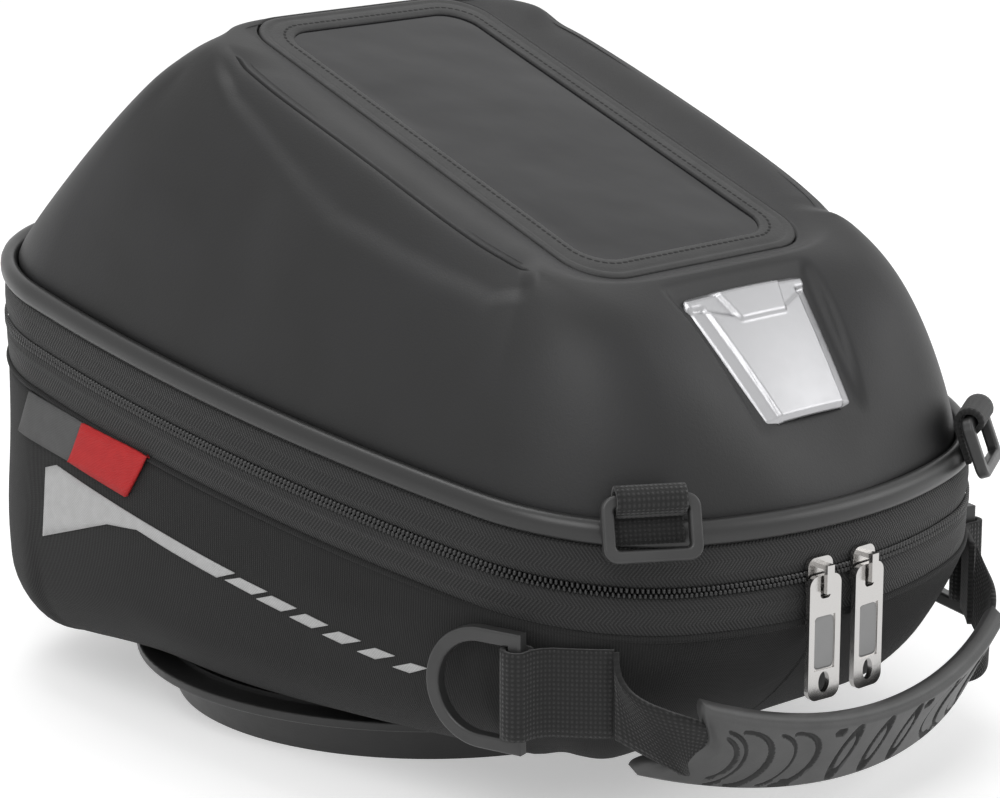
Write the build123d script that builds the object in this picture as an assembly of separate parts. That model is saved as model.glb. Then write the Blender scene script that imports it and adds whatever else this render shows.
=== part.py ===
from build123d import *
import os
from math import asin, atan, atan2, cos, degrees, exp, pi, radians, sin

# Tank bag. Millimetres, +Z up, symmetric about X = 0. The origin is the centre of the lock ring's
# underside. The rider's end, with the badge, zip pulls and handle, points to -Y.

# --- Seam plane: the zip's teeth meet in it -------------------------------------------------------
SEAM_HEIGHT = 100.0     # above the lock ring's underside, at the ring's axis
SEAM_SLOPE = 0.151      # rise per millimetre towards the far end

# --- Plan outline at the zip: tangent arcs from the nose to the tail, one half ----------------------
NOSE_REACH = 173.7      # ring axis to the nose
NOSE_RADIUS = 166.4
NOSE_TURN = 18.1        # degrees of each arc
CORNER_RADIUS = 60.6
CORNER_TURN = 59.2
FLANK_RADIUS = 587.1
FLANK_TURN = 18.3
TAIL_RADIUS = 57.8
TAIL_TURN = 82.6

# --- Bands that follow the outline, as heights above the seam plane ---------------------------------
TEETH_GAP = 0.15        # half the gap between the two rows of teeth
TEETH_TOP = 1.8
TAPE_WIDTH = 11.0
PIPING_HEIGHT = 6.5
TEETH_WALL = 1.8
TAPE_WALL = 1.4
TAPE_INSET = 0.5        # the teeth stand proud of the tape
PIPING_PROUD = 0.8
PIPING_WALL = 5.0
HINGE_HALF_WIDTH = 58.0  # fabric hinge in place of the zip at the tail

# --- Lid dome ---------------------------------------------------------------------------------------
SHELL_GAP = 0.3         # piping to shell
SHELL_WALL = 4.0
CROWN_WALL = 7.0        # thicker under the window
DOME_FOOT = 18.0        # where the straight foot ends, above the seam plane
CROWN_HEIGHT = 192.9    # crown plane at the ring axis
CROWN_SLOPE = 0.361
CROWN_FRONT = -125.0
CROWN_REAR = 41.0
CROWN_HALF_WIDTH = 64.0
CROWN_SQUARENESS = 4.6
DOME_RISE = 1.176       # superellipse power upward, and inward at the sides, nose, tail and badge ramp
DOME_SIDE = 1.55
DOME_NOSE = 3.4
DOME_TAIL = 0.85
RAMP_DEPTH = 2.0
RAMP_HALF_WIDTH = 44.0

# --- Tub --------------------------------------------------------------------------------------------
TUB_WALL = 4.0
TUB_FLOOR = 17.0        # outer face of the floor
FOOT_RADIUS = 20.0      # the walls round under to the floor
RAKE_TOP = 66.0         # height where the nose starts to slope in
RAKE_DEPTH = 36.0       # how far in it comes at the floor
BOARD_THICKNESS = 2.0
BOARD_CLEARANCE = 3.0

# --- Window, phone pocket and badge --------------------------------------------------------------------
WINDOW_WIDTH = 71.0
WINDOW_LENGTH = 144.5
WINDOW_CENTRE = -40.6
WINDOW_RADIUS = 10.0
BORDER_WIDTH = 9.0
RECESS_DEPTH = 1.5
FILM_THICKNESS = 0.5
FILM_PLAY = 0.3         # round the film, the border and the badge
BORDER_THICKNESS = 1.2
LEDGE = 3.0             # shell under the border
POCKET_DEPTH = 15.0
POCKET_WALL = 1.5
POCKET_MARGIN = 4.0
FLAP_THICKNESS = 2.0
FLAP_LENGTH = 118.0
FLAP_GAP = 0.4
BADGE_LENGTH = 42.0
BADGE_TOP_WIDTH = 49.0
BADGE_FOOT_WIDTH = 35.5
BADGE_THICKNESS = 3.0
BADGE_CENTRE = (0.0, -144.0, 129.0)
BADGE_TILT = 48.5
STUD_RADIUS = 2.0

# --- Lock ring under the tub ----------------------------------------------------------------------------
LOCK_RADIUS = 80.3      # at the underside
LOCK_TOP_RADIUS = 86.0
LOCK_HEIGHT = 12.5
FLANGE_RADIUS = 92.7
FLANGE_THICKNESS = 3.0
SOCKET_RADIUS = 62.5    # takes the tank ring's collar
SOCKET_WALL = 5.0       # guides the collar; wider above it, for the collar's lip
SOCKET_DEPTH = 10.0
RELIEF = 1.5
PAD_RADIUS = 84.0
BACKING_RADIUS = 78.0
BACKING_BORE = 58.0
BACKING_THICKNESS = 2.0
SCREW_CIRCLE = 142.0    # diameter
SCREW_COUNT = 6
SCREW_RADIUS = 2.4
SCREW_CLEARANCE = 0.3
SCREW_HEAD_RADIUS = 4.5
SCREW_HEAD_HEIGHT = 2.6
LATCH_WIDTH = 16.0
LATCH_HEIGHT = 4.5
LATCH_ENGAGE = 3.5
RUNNING = 0.3           # clearance round parts that slide
SPRING_RADIUS = 1.9
SPRING_WIRE = 0.35
SPRING_TURNS = 5
STUD_PLAY = 0.1

# --- Hardware on the outside ----------------------------------------------------------------------------
WEBBING_WIDTH = 25.0
WEBBING = 1.5
RING_HEADING = 31.5     # lid rings, degrees round from the nose
RING_WIDTH = 27.0
RING_HEIGHT = 18.0
RING_BAR = 3.4
RING_LEAN = 20.0
RING_RISE = 19.5        # ring centre above the seam plane
D_HEADING = 63.0        # bar of the D-ring, degrees round from the nose
D_PLANE = 74.6
D_HEIGHT = 49.0
D_BAR = 4.0
D_WIDTH = 34.0
D_DEPTH = 30.0
D_STANDOFF = 5.2
STRAP_START = 59.5      # sewn part of the side strap, degrees round from the nose
STRAP_END = 40.0
STRAP_BOW = (2.5, -1.5, 0.0)
LOOP_TAIL = 11.0
LOOP_CLEARANCE = 0.3
GRIP_RADIUS = 125.0
GRIP_THICKNESS = 6.0
GRIP_HEIGHT = 25.0
GRIP_END_HEIGHT = 29.0
GRIP_HALF_LENGTH = 68.0
GRIP_NOTCH = 13.0
GRIP_CENTRE = (0.0, -184.5, 25.0)
GRIP_TILT = 30.0
SLIDER_HEADINGS = {"left": -4.6, "right": 1.2}
SLIDER_WIDTH = 9.0
SLIDER_HEIGHT = 11.0
SLIDER_THICKNESS = 1.2
SLIDER_GAP = 0.3
BRIDGE_SPAN = 8.0
BRIDGE_RISE = 4.2
BRIDGE_BAR = 1.3
PULL_LENGTH = 35.5
PULL_WIDTH = 11.5
PULL_THICKNESS = 1.6
PULL_BAR = 1.8          # the bar above the eye
DECAL = 0.4
TAB_THICKNESS = 1.0
TAB = [(74, 82), (66, 96), (3, 89), (14, 75)]          # corners on the flank, as (y, z)
DECAL_BODY = [(60, 52), (58, 74), (52, 76), (21, 71), (-35, 62), (-27, 59), (9, 65.5), (24, 64)]
DASH_COUNT = 6
DASH_START = (-39.0, 59.0)
DASH_STEP = (-11.7, -2.5)
DASH_LENGTH = 17.5
DASH_HEIGHT = 4.1
DASH_SHRINK = 0.93

SIDES = {"left": -1, "right": 1}
ARCS = [(NOSE_RADIUS, NOSE_TURN), (CORNER_RADIUS, CORNER_TURN),
        (FLANK_RADIUS, FLANK_TURN), (TAIL_RADIUS, TAIL_TURN)]
ARC_STEPS = (2, 4, 5, 6, 1)
LEVELS = (0.0, 0.14, 0.3, 0.46, 0.62, 0.78, 0.9, 1.0)
REACH = 400.0           # longer than any part of the bag


def write(node, *solids):
    """Save one sub-part, made of one or more separate solids."""
    shape = solids[0] if len(solids) == 1 else Compound(children=list(solids))
    export_step(shape, f"parts/{node}.step")


def seam_z(y):
    return SEAM_HEIGHT + SEAM_SLOPE * y


def rim_arcs():
    """Centre, radius, start and end heading of each arc from the nose to the tail."""
    x, y, heading = 0.0, -NOSE_REACH, 0.0
    arcs = []
    for radius, turn in ARCS:
        cx, cy = x - radius * sin(radians(heading)), y + radius * cos(radians(heading))
        arcs.append((cx, cy, radius, heading, heading + turn))
        heading += turn
        x, y = cx + radius * sin(radians(heading)), cy - radius * cos(radians(heading))
    radius = x / sin(radians(heading))
    arcs.append((0.0, y + radius * cos(radians(heading)), radius, heading, 180.0))
    return arcs


RIM = rim_arcs()
TAIL_REACH = RIM[-1][1] + RIM[-1][2]


def rim_point(heading, inset=0.0):
    """Point of the plan outline where the outward normal has turned this far from the nose."""
    side = -1 if heading < 0 else 1
    turn = abs(heading)
    cx, cy, radius, _, _ = next(arc for arc in RIM if turn <= arc[4] + 1e-9)
    reach = radius - inset
    return side * (cx + reach * sin(radians(turn))), cy - reach * cos(radians(turn))


def rim_headings():
    """Headings all the way round, evenly spaced within each arc."""
    half = [0.0]
    for (_, _, _, start, end), steps in zip(RIM, ARC_STEPS):
        half += [start + (end - start) * (k + 1) / steps for k in range(steps)]
    return half + [-turn for turn in reversed(half[1:-1])]


def outline(inset=0.0):
    edges = []
    for side in (1, -1):
        for _, _, _, start, end in RIM:
            turns = (start, (start + end) / 2, end)
            points = [rim_point(turn, inset) for turn in turns]
            edges.append(ThreePointArc(*[(side * x, y) for x, y in points]))
    return Face(Wire(edges))


def slab(low, high):
    """Everything between two planes parallel to the seam."""
    ends = [(y, seam_z(y)) for y in (-REACH, REACH)]
    corners = [(ends[0][0], ends[0][1] + low), (ends[1][0], ends[1][1] + low),
               (ends[1][0], ends[1][1] + high), (ends[0][0], ends[0][1] + high)]
    return extrude(Plane.YZ * make_face(Polyline(*corners, close=True)), REACH, both=True)


def prism(inset):
    return extrude(outline(inset), REACH)


def band(inset, wall, low, high):
    """A wall that follows the outline between two heights above the seam plane."""
    return (prism(inset) - prism(inset + wall)) & slab(low, high)


def form(rim, flat, start, finish, rise_power, in_power, foot=0.0):
    """Closed form from the rim's outline to a smaller flat end, along superellipse curves.

    rim and flat give a point for each heading, start and finish a height for each y.
    foot is the length of straight wall below the start."""
    wires = []
    levels = ([None] if foot else []) + list(LEVELS)
    for level in levels:
        turn = radians(90 * (level or 0.0))
        points = []
        for heading in rim_headings():
            (x0, y0), (x1, y1) = rim(heading), flat(heading)
            share = 1 - cos(turn) ** (2 / in_power(heading)) if level != 1.0 else 1.0
            x, y = x0 + (x1 - x0) * share, y0 + (y1 - y0) * share
            up = sin(turn) ** (2 / rise_power)
            z = start(y) + (finish(y) - start(y)) * up
            points.append((x, y, z - foot if level is None else z))
        wires.append(Wire([Spline(*points, periodic=True)]))
    return Solid.make_loft(wires)


def shares(heading):
    """How far an outline point faces the nose, the flank and the tail."""
    forward, sideways = cos(radians(heading)), sin(radians(heading))
    return max(forward, 0) ** 2, sideways ** 2, max(-forward, 0) ** 2


# --- Lid --------------------------------------------------------------------------------------------
LID_LOW = TEETH_TOP + TAPE_WIDTH
SHELL_INSET = PIPING_WALL - PIPING_PROUD + SHELL_GAP


def crown_z(y):
    return CROWN_HEIGHT + CROWN_SLOPE * y


def crown_point(heading, inset):
    """Point on the edge of the lid's flat crown."""
    x, y = rim_point(heading, SHELL_INSET)
    middle = (TAIL_REACH - NOSE_REACH) / 2
    turn = atan2(x / rim_point(90)[0], (middle - y) / ((TAIL_REACH + NOSE_REACH) / 2))
    half_width = CROWN_HALF_WIDTH - inset
    half_length = (CROWN_REAR - CROWN_FRONT) / 2 - inset
    across, along = sin(turn), -cos(turn)
    power = 2 / CROWN_SQUARENESS
    reach_x = half_width * abs(across) ** power * (1 if across > 0 else -1)
    reach_y = half_length * abs(along) ** power * (1 if along > 0 else -1)
    return reach_x, (CROWN_REAR + CROWN_FRONT) / 2 + reach_y


def dome_power(heading):
    nose, flank, tail = shares(heading)
    ramp = RAMP_DEPTH * exp(-(rim_point(heading)[0] / RAMP_HALF_WIDTH) ** 2) * nose
    return DOME_NOSE * nose + DOME_SIDE * flank + DOME_TAIL * tail - ramp


def dome(inset, drop, foot=DOME_FOOT - LID_LOW):
    """Dome form, thinner by an inset all round and a drop at the crown, on a straight foot."""
    return form(lambda turn: rim_point(turn, SHELL_INSET + inset), lambda turn: crown_point(turn, inset),
                lambda y: seam_z(y) + DOME_FOOT, lambda y: crown_z(y) - drop,
                DOME_RISE, dome_power, foot)


def crown_frame(depth=0.0):
    """Plane of the window, at its centre, with X across and Y up the slope."""
    tilt = degrees(atan(CROWN_SLOPE))
    return Plane(Pos(0, WINDOW_CENTRE, crown_z(WINDOW_CENTRE)) * Rot(tilt, 0, 0) * Pos(0, 0, -depth))


def window_shape(grow):
    return RectangleRounded(WINDOW_WIDTH + 2 * grow, WINDOW_LENGTH + 2 * grow,
                            WINDOW_RADIUS + max(grow, 0) / 2)


def badge_frame():
    return Plane(Pos(*BADGE_CENTRE) * Rot(BADGE_TILT, 0, 0))


def badge_shape(grow=0.0):
    half, top, foot = BADGE_LENGTH / 2 + grow, BADGE_TOP_WIDTH / 2 + grow, BADGE_FOOT_WIDTH / 2 + grow
    face = make_face(Polyline((-foot, -half), (foot, -half), (top, half), (-top, half), close=True))
    return fillet(face.vertices(), 3.0)


def stud_places():
    return [(side * 12.0, along) for side in (-1, 1) for along in (-12.0, 12.0)]


def lid_shell():
    shell = dome(0, 0) - dome(SHELL_WALL, CROWN_WALL, DOME_FOOT)
    recess = extrude(crown_frame(RECESS_DEPTH) * window_shape(BORDER_WIDTH + FILM_PLAY), 40)
    opening = extrude(crown_frame() * window_shape(BORDER_WIDTH - 2 * LEDGE), 20, both=True)
    seat = extrude(badge_frame() * badge_shape(FILM_PLAY), 30)
    shell = shell - recess - opening - seat
    for place in stud_places():
        shell = shell - extrude(badge_frame() * Pos(*place) * Circle(STUD_RADIUS + STUD_PLAY), 14, both=True)
    return shell


def window_film():
    return extrude(crown_frame(RECESS_DEPTH) * window_shape(BORDER_WIDTH), FILM_THICKNESS)


def window_border():
    frame = window_shape(BORDER_WIDTH) - window_shape(0)
    return extrude(crown_frame(RECESS_DEPTH - FILM_THICKNESS) * frame, BORDER_THICKNESS)


def pocket_size():
    return WINDOW_WIDTH + 2 * POCKET_MARGIN, WINDOW_LENGTH + 2 * POCKET_MARGIN


def pocket_tray():
    """Walls and floor of the phone pocket; the flap closes the hole in its floor."""
    width, length = pocket_size()
    top = CROWN_WALL + 0.2
    box = extrude(crown_frame(top + POCKET_DEPTH) * RectangleRounded(width, length, 6), POCKET_DEPTH)
    hollow = extrude(crown_frame(top + POCKET_DEPTH - POCKET_WALL)
                     * RectangleRounded(width - 2 * POCKET_WALL, length - 2 * POCKET_WALL, 5), POCKET_DEPTH)
    mouth = extrude(crown_frame(top + POCKET_DEPTH) * Rectangle(width - 12, FLAP_LENGTH - 6), 6, both=True)
    lip = extrude(crown_frame(top) * (RectangleRounded(width, length, 6)
                  - RectangleRounded(width - 2 * POCKET_WALL, length - 2 * POCKET_WALL, 5)), 0.2)
    return box - hollow - mouth + lip


def pocket_flap():
    width, _ = pocket_size()
    depth = CROWN_WALL + 0.2 + POCKET_DEPTH + FLAP_GAP + FLAP_THICKNESS
    return extrude(crown_frame(depth) * RectangleRounded(width - 4, FLAP_LENGTH, 4), FLAP_THICKNESS)


def badge_plate():
    plate = extrude(badge_frame() * badge_shape(), BADGE_THICKNESS)
    return chamfer(plate.faces().sort_by(Axis((0, 0, 0), badge_frame().z_dir))[-1].edges(), 0.9)


def badge_studs():
    """Studs from the plate through the shell, each with a push-on washer inside."""
    studs = []
    for place in stud_places():
        shank = extrude(badge_frame() * Pos(*place) * Circle(STUD_RADIUS), -12)
        washer = extrude(badge_frame() * Pos(*place) * Pos(0, 0, -10.5) * Circle(STUD_RADIUS * 2), 1.0)
        studs.append(shank + washer)
    return studs


def lid_piping():
    piping = band(-PIPING_PROUD, PIPING_WALL, LID_LOW, LID_LOW + PIPING_HEIGHT)
    return piping


def tail_box():
    return Pos(0, TAIL_REACH, SEAM_HEIGHT) * Box(2 * HINGE_HALF_WIDTH, 30, REACH)


def zip_band(inset, wall, low, high):
    return band(inset, wall, low, high) - tail_box()


def hinge_band(low, high):
    inset = TAPE_INSET
    leaf = band(inset, TAPE_WALL, low, high)
    return leaf & (Pos(0, TAIL_REACH, SEAM_HEIGHT) * Box(2 * HINGE_HALF_WIDTH - 0.4, 30, REACH))


# --- Tub --------------------------------------------------------------------------------------------
def tub(inset, lift, top=0.0):
    """Tub form: upright walls that round under to a flat floor, and a nose that slopes in."""
    low = TUB_FLOOR + lift
    block = extrude(Plane.XY.offset(low) * outline(TAPE_INSET + inset), REACH / 2)
    block = fillet(block.faces().sort_by(Axis.Z)[0].edges(), FOOT_RADIUS - inset)
    nose = inset - NOSE_REACH
    wedge = [(-REACH, RAKE_TOP), (nose, RAKE_TOP), (nose + 2 * RAKE_DEPTH, 2 * TUB_FLOOR - RAKE_TOP),
             (-REACH, 2 * TUB_FLOOR - RAKE_TOP)]
    block = block - extrude(Plane.YZ * make_face(Polyline(*wedge, close=True)), REACH, both=True)
    return block & slab(-REACH, top - LID_LOW)


def tub_shell():
    shell = tub(0, 0) - tub(TUB_WALL, TUB_WALL, 1.0)
    for hole in screw_holes(SCREW_RADIUS + SCREW_CLEARANCE):
        shell = shell - hole
    return shell


def floor_board():
    low = TUB_FLOOR + TUB_WALL
    board = extrude(Plane.XY.offset(low) * outline(RAKE_DEPTH + TUB_WALL + BOARD_CLEARANCE), BOARD_THICKNESS)
    for hole in screw_holes(SCREW_RADIUS + SCREW_CLEARANCE):
        board = board - hole
    return board


def wall_skin(gap, thickness):
    """Everything within a thin layer outside the tub's wall."""
    return prism(TAPE_INSET - gap - thickness) - prism(TAPE_INSET - gap)


def flank_patch(side, gap, thickness, corners):
    """A thin patch on the tub's flank, bounded by corners given as (y, z)."""
    sheet = extrude(Plane.YZ * make_face(Polyline(*corners, close=True)), side * REACH)
    return wall_skin(gap, thickness) & sheet


def dash_corners(index):
    y, z = DASH_START[0] + DASH_STEP[0] * index, DASH_START[1] + DASH_STEP[1] * index
    length, half = DASH_LENGTH * DASH_SHRINK ** index, DASH_HEIGHT / 2 * DASH_SHRINK ** index
    lean = length / 3
    return [(y + length / 2, z - half * 0.2), (y + length / 2 - lean, z + half),
            (y - length / 2, z + half * 0.2), (y - length / 2 + lean, z - half)]


def reflector(side):
    corner_sets = [DECAL_BODY] + [dash_corners(k) for k in range(DASH_COUNT)]
    return [flank_patch(side, 0, DECAL, corners) for corners in corner_sets]


# --- Lock ring --------------------------------------------------------------------------------------
LATCH_LOW = SOCKET_DEPTH - LATCH_HEIGHT - 0.2
SPRING_START = SOCKET_RADIUS + 3.0
SPRING_SLOT = 2 * (SPRING_RADIUS + SPRING_WIRE + RUNNING)
POST_START = SPRING_START + 12.5
SLOT_END = 2.5
FLANGE_TOP = LOCK_HEIGHT + FLANGE_THICKNESS
BACKING_LOW = TUB_FLOOR + TUB_WALL + BOARD_THICKNESS


def screw_spots():
    return [(SCREW_CIRCLE / 2 * cos(2 * pi * (k + 0.5) / SCREW_COUNT + pi / 2),
             SCREW_CIRCLE / 2 * sin(2 * pi * (k + 0.5) / SCREW_COUNT + pi / 2)) for k in range(SCREW_COUNT)]


def screw_holes(radius, low=5.0):
    top = BACKING_LOW + BACKING_THICKNESS + SCREW_HEAD_HEIGHT + 1
    return [Pos(x, y, (low + top) / 2) * Cylinder(radius, top - low) for x, y in screw_spots()]


def lock_screws():
    seat = BACKING_LOW + BACKING_THICKNESS
    screws = []
    for x, y in screw_spots():
        shank = Pos(x, y, (6 + seat) / 2) * Cylinder(SCREW_RADIUS, seat - 6)
        head = Pos(x, y, seat + SCREW_HEAD_HEIGHT / 2) * Cylinder(SCREW_HEAD_RADIUS, SCREW_HEAD_HEIGHT)
        drive = Pos(x, y, seat + SCREW_HEAD_HEIGHT) * extrude(RegularPolygon(2.0, 6), -1.6)
        screws.append(shank + head - drive)
    return screws


def lock_housing():
    """Tapered ring with the socket in its underside, and the latch's channel with the spring's post."""
    body = Solid.make_cone(LOCK_RADIUS, LOCK_TOP_RADIUS, LOCK_HEIGHT)
    socket = Pos(0, 0, SOCKET_WALL / 2) * Cylinder(SOCKET_RADIUS, SOCKET_WALL)
    middle, depth = (SOCKET_WALL + SOCKET_DEPTH) / 2, SOCKET_DEPTH - SOCKET_WALL
    socket = socket + Pos(0, 0, middle) * Cylinder(SOCKET_RADIUS + RELIEF, depth)
    height = LATCH_HEIGHT + 2 * RUNNING
    channel = latch_box(SOCKET_RADIUS - 5, LOCK_TOP_RADIUS + 5, LATCH_WIDTH + 2 * RUNNING, height)
    body = body - socket - channel + latch_box(POST_START, POST_START + 2, 3, height + 0.2)
    for hole in screw_holes(SCREW_RADIUS + STUD_PLAY):
        body = body - hole
    return body


def lock_flange():
    disc = Pos(0, 0, LOCK_HEIGHT + FLANGE_THICKNESS / 2) * Cylinder(FLANGE_RADIUS, FLANGE_THICKNESS)
    disc = fillet(disc.edges(), 1.0)
    for hole in screw_holes(SCREW_RADIUS + SCREW_CLEARANCE):
        disc = disc - hole
    return disc


def ring_plate(outer, bore, low, thickness):
    plate = Pos(0, 0, low + thickness / 2) * (Cylinder(outer, thickness) - Cylinder(bore, thickness))
    for hole in screw_holes(SCREW_RADIUS + SCREW_CLEARANCE):
        plate = plate - hole
    return plate


def latch_bolt():
    """Bolt with a sloped nose that reaches into the socket, and a slot for its spring."""
    inner, outer = SOCKET_RADIUS - LATCH_ENGAGE, LOCK_TOP_RADIUS + 1.0
    side = [(inner, LATCH_LOW + LATCH_HEIGHT), (outer, LATCH_LOW + LATCH_HEIGHT), (outer, LATCH_LOW),
            (inner + LATCH_ENGAGE, LATCH_LOW), (inner, LATCH_LOW + 2)]
    bolt = extrude(Plane.YZ * make_face(Polyline(*side, close=True)), LATCH_WIDTH / 2, both=True)
    return bolt - latch_box(SPRING_START, outer - SLOT_END, SPRING_SLOT, LATCH_HEIGHT)


def latch_box(start, end, width, height):
    """Block on the latch's centre line between two distances from the ring's axis."""
    return Pos(0, (start + end) / 2, LATCH_LOW + LATCH_HEIGHT / 2) * Box(width, end - start, height)


def release_tab():
    start = LOCK_TOP_RADIUS + 1.0
    tab = latch_box(start, start + 12, 26, LATCH_HEIGHT)
    return fillet(tab.edges().filter_by(Axis.Z), 3.0) - latch_box(start + 4, start + 9, 14, LATCH_HEIGHT)


def latch_spring():
    start = Plane(origin=(0, SPRING_START + SPRING_WIRE + 0.1, LATCH_LOW + LATCH_HEIGHT / 2), z_dir=(0, 1, 0),
                  x_dir=(1, 0, 0))
    length = POST_START - SPRING_START - 2 * SPRING_WIRE - 0.2
    coil = start * Helix(length / SPRING_TURNS, length, SPRING_RADIUS)
    return sweep(Plane(origin=coil @ 0, z_dir=coil % 0) * Circle(SPRING_WIRE), path=coil)


# --- Rings, straps and handle -----------------------------------------------------------------------
def both_sides(name, *solids):
    """Write a right-hand sub-part and its mirror image on the left."""
    write(f"{name}_right", *solids)
    write(f"{name}_left", *[mirror(solid, about=Plane.YZ) for solid in solids])


def rim_frame(heading, stand, height, facing=None):
    """Plane just outside the outline: X along it, away from the nose, Y up, Z outward."""
    turn, face = radians(heading), radians(heading if facing is None else facing)
    x, y = rim_point(heading)
    return Plane(origin=(x + stand * sin(turn), y - stand * cos(turn), height),
                 x_dir=(cos(face), sin(face), 0), z_dir=(sin(face), -cos(face), 0))


def ring_frame():
    """Plane of the lid ring, which leans out over the piping."""
    height = seam_z(rim_point(RING_HEADING)[1]) + RING_RISE
    frame = rim_frame(RING_HEADING, PIPING_PROUD + RING_BAR / 2 + WEBBING, height)
    return Plane(frame.location * Rot(-RING_LEAN, 0, 0))


def framed_ring(width, height, bar, radius):
    ring = RectangleRounded(width, height, radius) - RectangleRounded(width - 2 * bar, height - 2 * bar, 1.2)
    solid = extrude(ring, bar / 2, both=True)
    return fillet(solid.faces().filter_by(Axis.Z).edges(), bar / 4)


def lid_ring():
    return ring_frame() * framed_ring(RING_WIDTH, RING_HEIGHT, RING_BAR, 4.0)


def ring_loop():
    """Webbing folded round the ring's upper bar and sewn down inside the piping."""
    inner = RING_BAR / 2 * 2 ** 0.5 + LOOP_CLEARANCE
    outer = inner + WEBBING
    tail = Pos(-(inner + outer) / 2, -LOOP_TAIL / 2) * Rectangle(WEBBING, LOOP_TAIL)
    profile = Circle(outer) + tail - Circle(inner)
    bar = ring_frame() * Pos(0, RING_HEIGHT / 2 - RING_BAR / 2, 0) * Rot(0, -90, 0)
    return bar * extrude(profile, (RING_WIDTH - 2 * RING_BAR - 1.0) / 2, both=True)


def d_frame():
    return rim_frame(D_HEADING, D_STANDOFF, D_HEIGHT, D_PLANE)


def d_shape(width, start):
    """D outline: straight from the start, then a half circle about the same centre."""
    centre = D_DEPTH - D_WIDTH / 2 - D_BAR / 2
    bow = Pos(centre, 0) * Circle(width / 2) & Pos(centre + width / 2, 0) * Rectangle(width, width)
    return Pos((centre + start) / 2, 0) * Rectangle(centre - start, width) + bow


def d_ring():
    ring = d_shape(D_WIDTH, -D_BAR / 2) - d_shape(D_WIDTH - 2 * D_BAR, D_BAR / 2)
    solid = extrude(ring, D_BAR / 2, both=True)
    solid = fillet(solid.faces().filter_by(Axis.Z).edges(), D_BAR / 5)
    return d_frame() * solid


def side_strap():
    """Webbing round the D-ring's bar, sewn on the wall from there towards the nose."""
    frame = d_frame()
    inner = D_BAR / 2 * 2 ** 0.5 + LOOP_CLEARANCE
    loop = Circle(inner + WEBBING) - Circle(inner)
    section = Plane(origin=frame.origin, x_dir=frame.x_dir, z_dir=(0, 0, 1))
    wrap = extrude(section * loop, WEBBING_WIDTH / 2, both=True)
    corners = []
    for heading, stand in ((STRAP_START, -20), (STRAP_START, 9), (STRAP_END, 9), (STRAP_END, -20)):
        corner = rim_frame(heading, stand, 0).origin
        corners.append((corner.X, corner.Y))
    sector = make_face(Polyline(*corners, close=True))
    low = Plane.XY.offset(D_HEIGHT - WEBBING_WIDTH / 2)
    sewn = wall_skin(0, WEBBING) & extrude(low * sector, WEBBING_WIDTH)
    return wrap, sewn


def grip_frame():
    return Pos(*GRIP_CENTRE) * Rot(GRIP_TILT, 0, 0)


def grip_outline():
    """Front view of the grip: bowed edges and a V notch in each end for the webbing."""
    top, foot = GRIP_HEIGHT / 2, GRIP_END_HEIGHT / 2
    edges = [ThreePointArc((8 - GRIP_HALF_LENGTH, foot + 2), (0, top), (GRIP_HALF_LENGTH - 8, foot + 2)),
             Line((GRIP_HALF_LENGTH - 8, foot + 2), (GRIP_HALF_LENGTH - GRIP_NOTCH, 1)),
             Line((GRIP_HALF_LENGTH - GRIP_NOTCH, 1), (GRIP_HALF_LENGTH, 3 - foot)),
             ThreePointArc((GRIP_HALF_LENGTH, 3 - foot), (0, -top), (-GRIP_HALF_LENGTH, 3 - foot)),
             Line((-GRIP_HALF_LENGTH, 3 - foot), (GRIP_NOTCH - GRIP_HALF_LENGTH, 1)),
             Line((GRIP_NOTCH - GRIP_HALF_LENGTH, 1), (8 - GRIP_HALF_LENGTH, foot + 2))]
    return Face(Wire(edges))


def handle_grip():
    centre = GRIP_RADIUS
    arc = Pos(0, centre) * (Circle(GRIP_RADIUS) - Circle(GRIP_RADIUS - GRIP_THICKNESS))
    arc = arc & (Pos(0, 20) * Rectangle(2 * GRIP_HALF_LENGTH + 10, 60))
    bow = extrude(arc, GRIP_END_HEIGHT, both=True)
    face = extrude(Plane.XZ * grip_outline(), 60, both=True)
    return grip_frame() * (bow & face)


def handle_webbing():
    """Webbing from the strap's end, twisting into the grip's notch."""
    start = rim_frame(STRAP_END - 1.0, WEBBING + 1.4, D_HEIGHT).origin
    across = GRIP_HALF_LENGTH - GRIP_NOTCH - 1.5
    sag = GRIP_RADIUS - (GRIP_RADIUS ** 2 - across ** 2) ** 0.5
    end = (grip_frame() * Pos(across, sag + GRIP_THICKNESS / 2, 0)).position
    middle = (start + end) * 0.5 + Vector(*STRAP_BOW)
    run = end - start
    side = run.cross(Vector(0, 0, 1))
    stations = ((start, WEBBING_WIDTH - 1), (middle, WEBBING_WIDTH - 6), (end, GRIP_NOTCH))
    return loft([Plane(origin=place, z_dir=run, x_dir=side) * Rectangle(WEBBING, width)
                 for place, width in stations], ruled=True)


# --- Zip sliders and pulls --------------------------------------------------------------------------
def slider_frame(heading):
    """Plane on the teeth at a heading either side of the nose: Y up, Z outward."""
    x, y = rim_point(heading)
    turn = radians(heading)
    return Plane(origin=(x + SLIDER_GAP * sin(turn), y - SLIDER_GAP * cos(turn), seam_z(y)),
                 x_dir=(cos(turn), sin(turn), 0), z_dir=(sin(turn), -cos(turn), 0))


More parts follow.
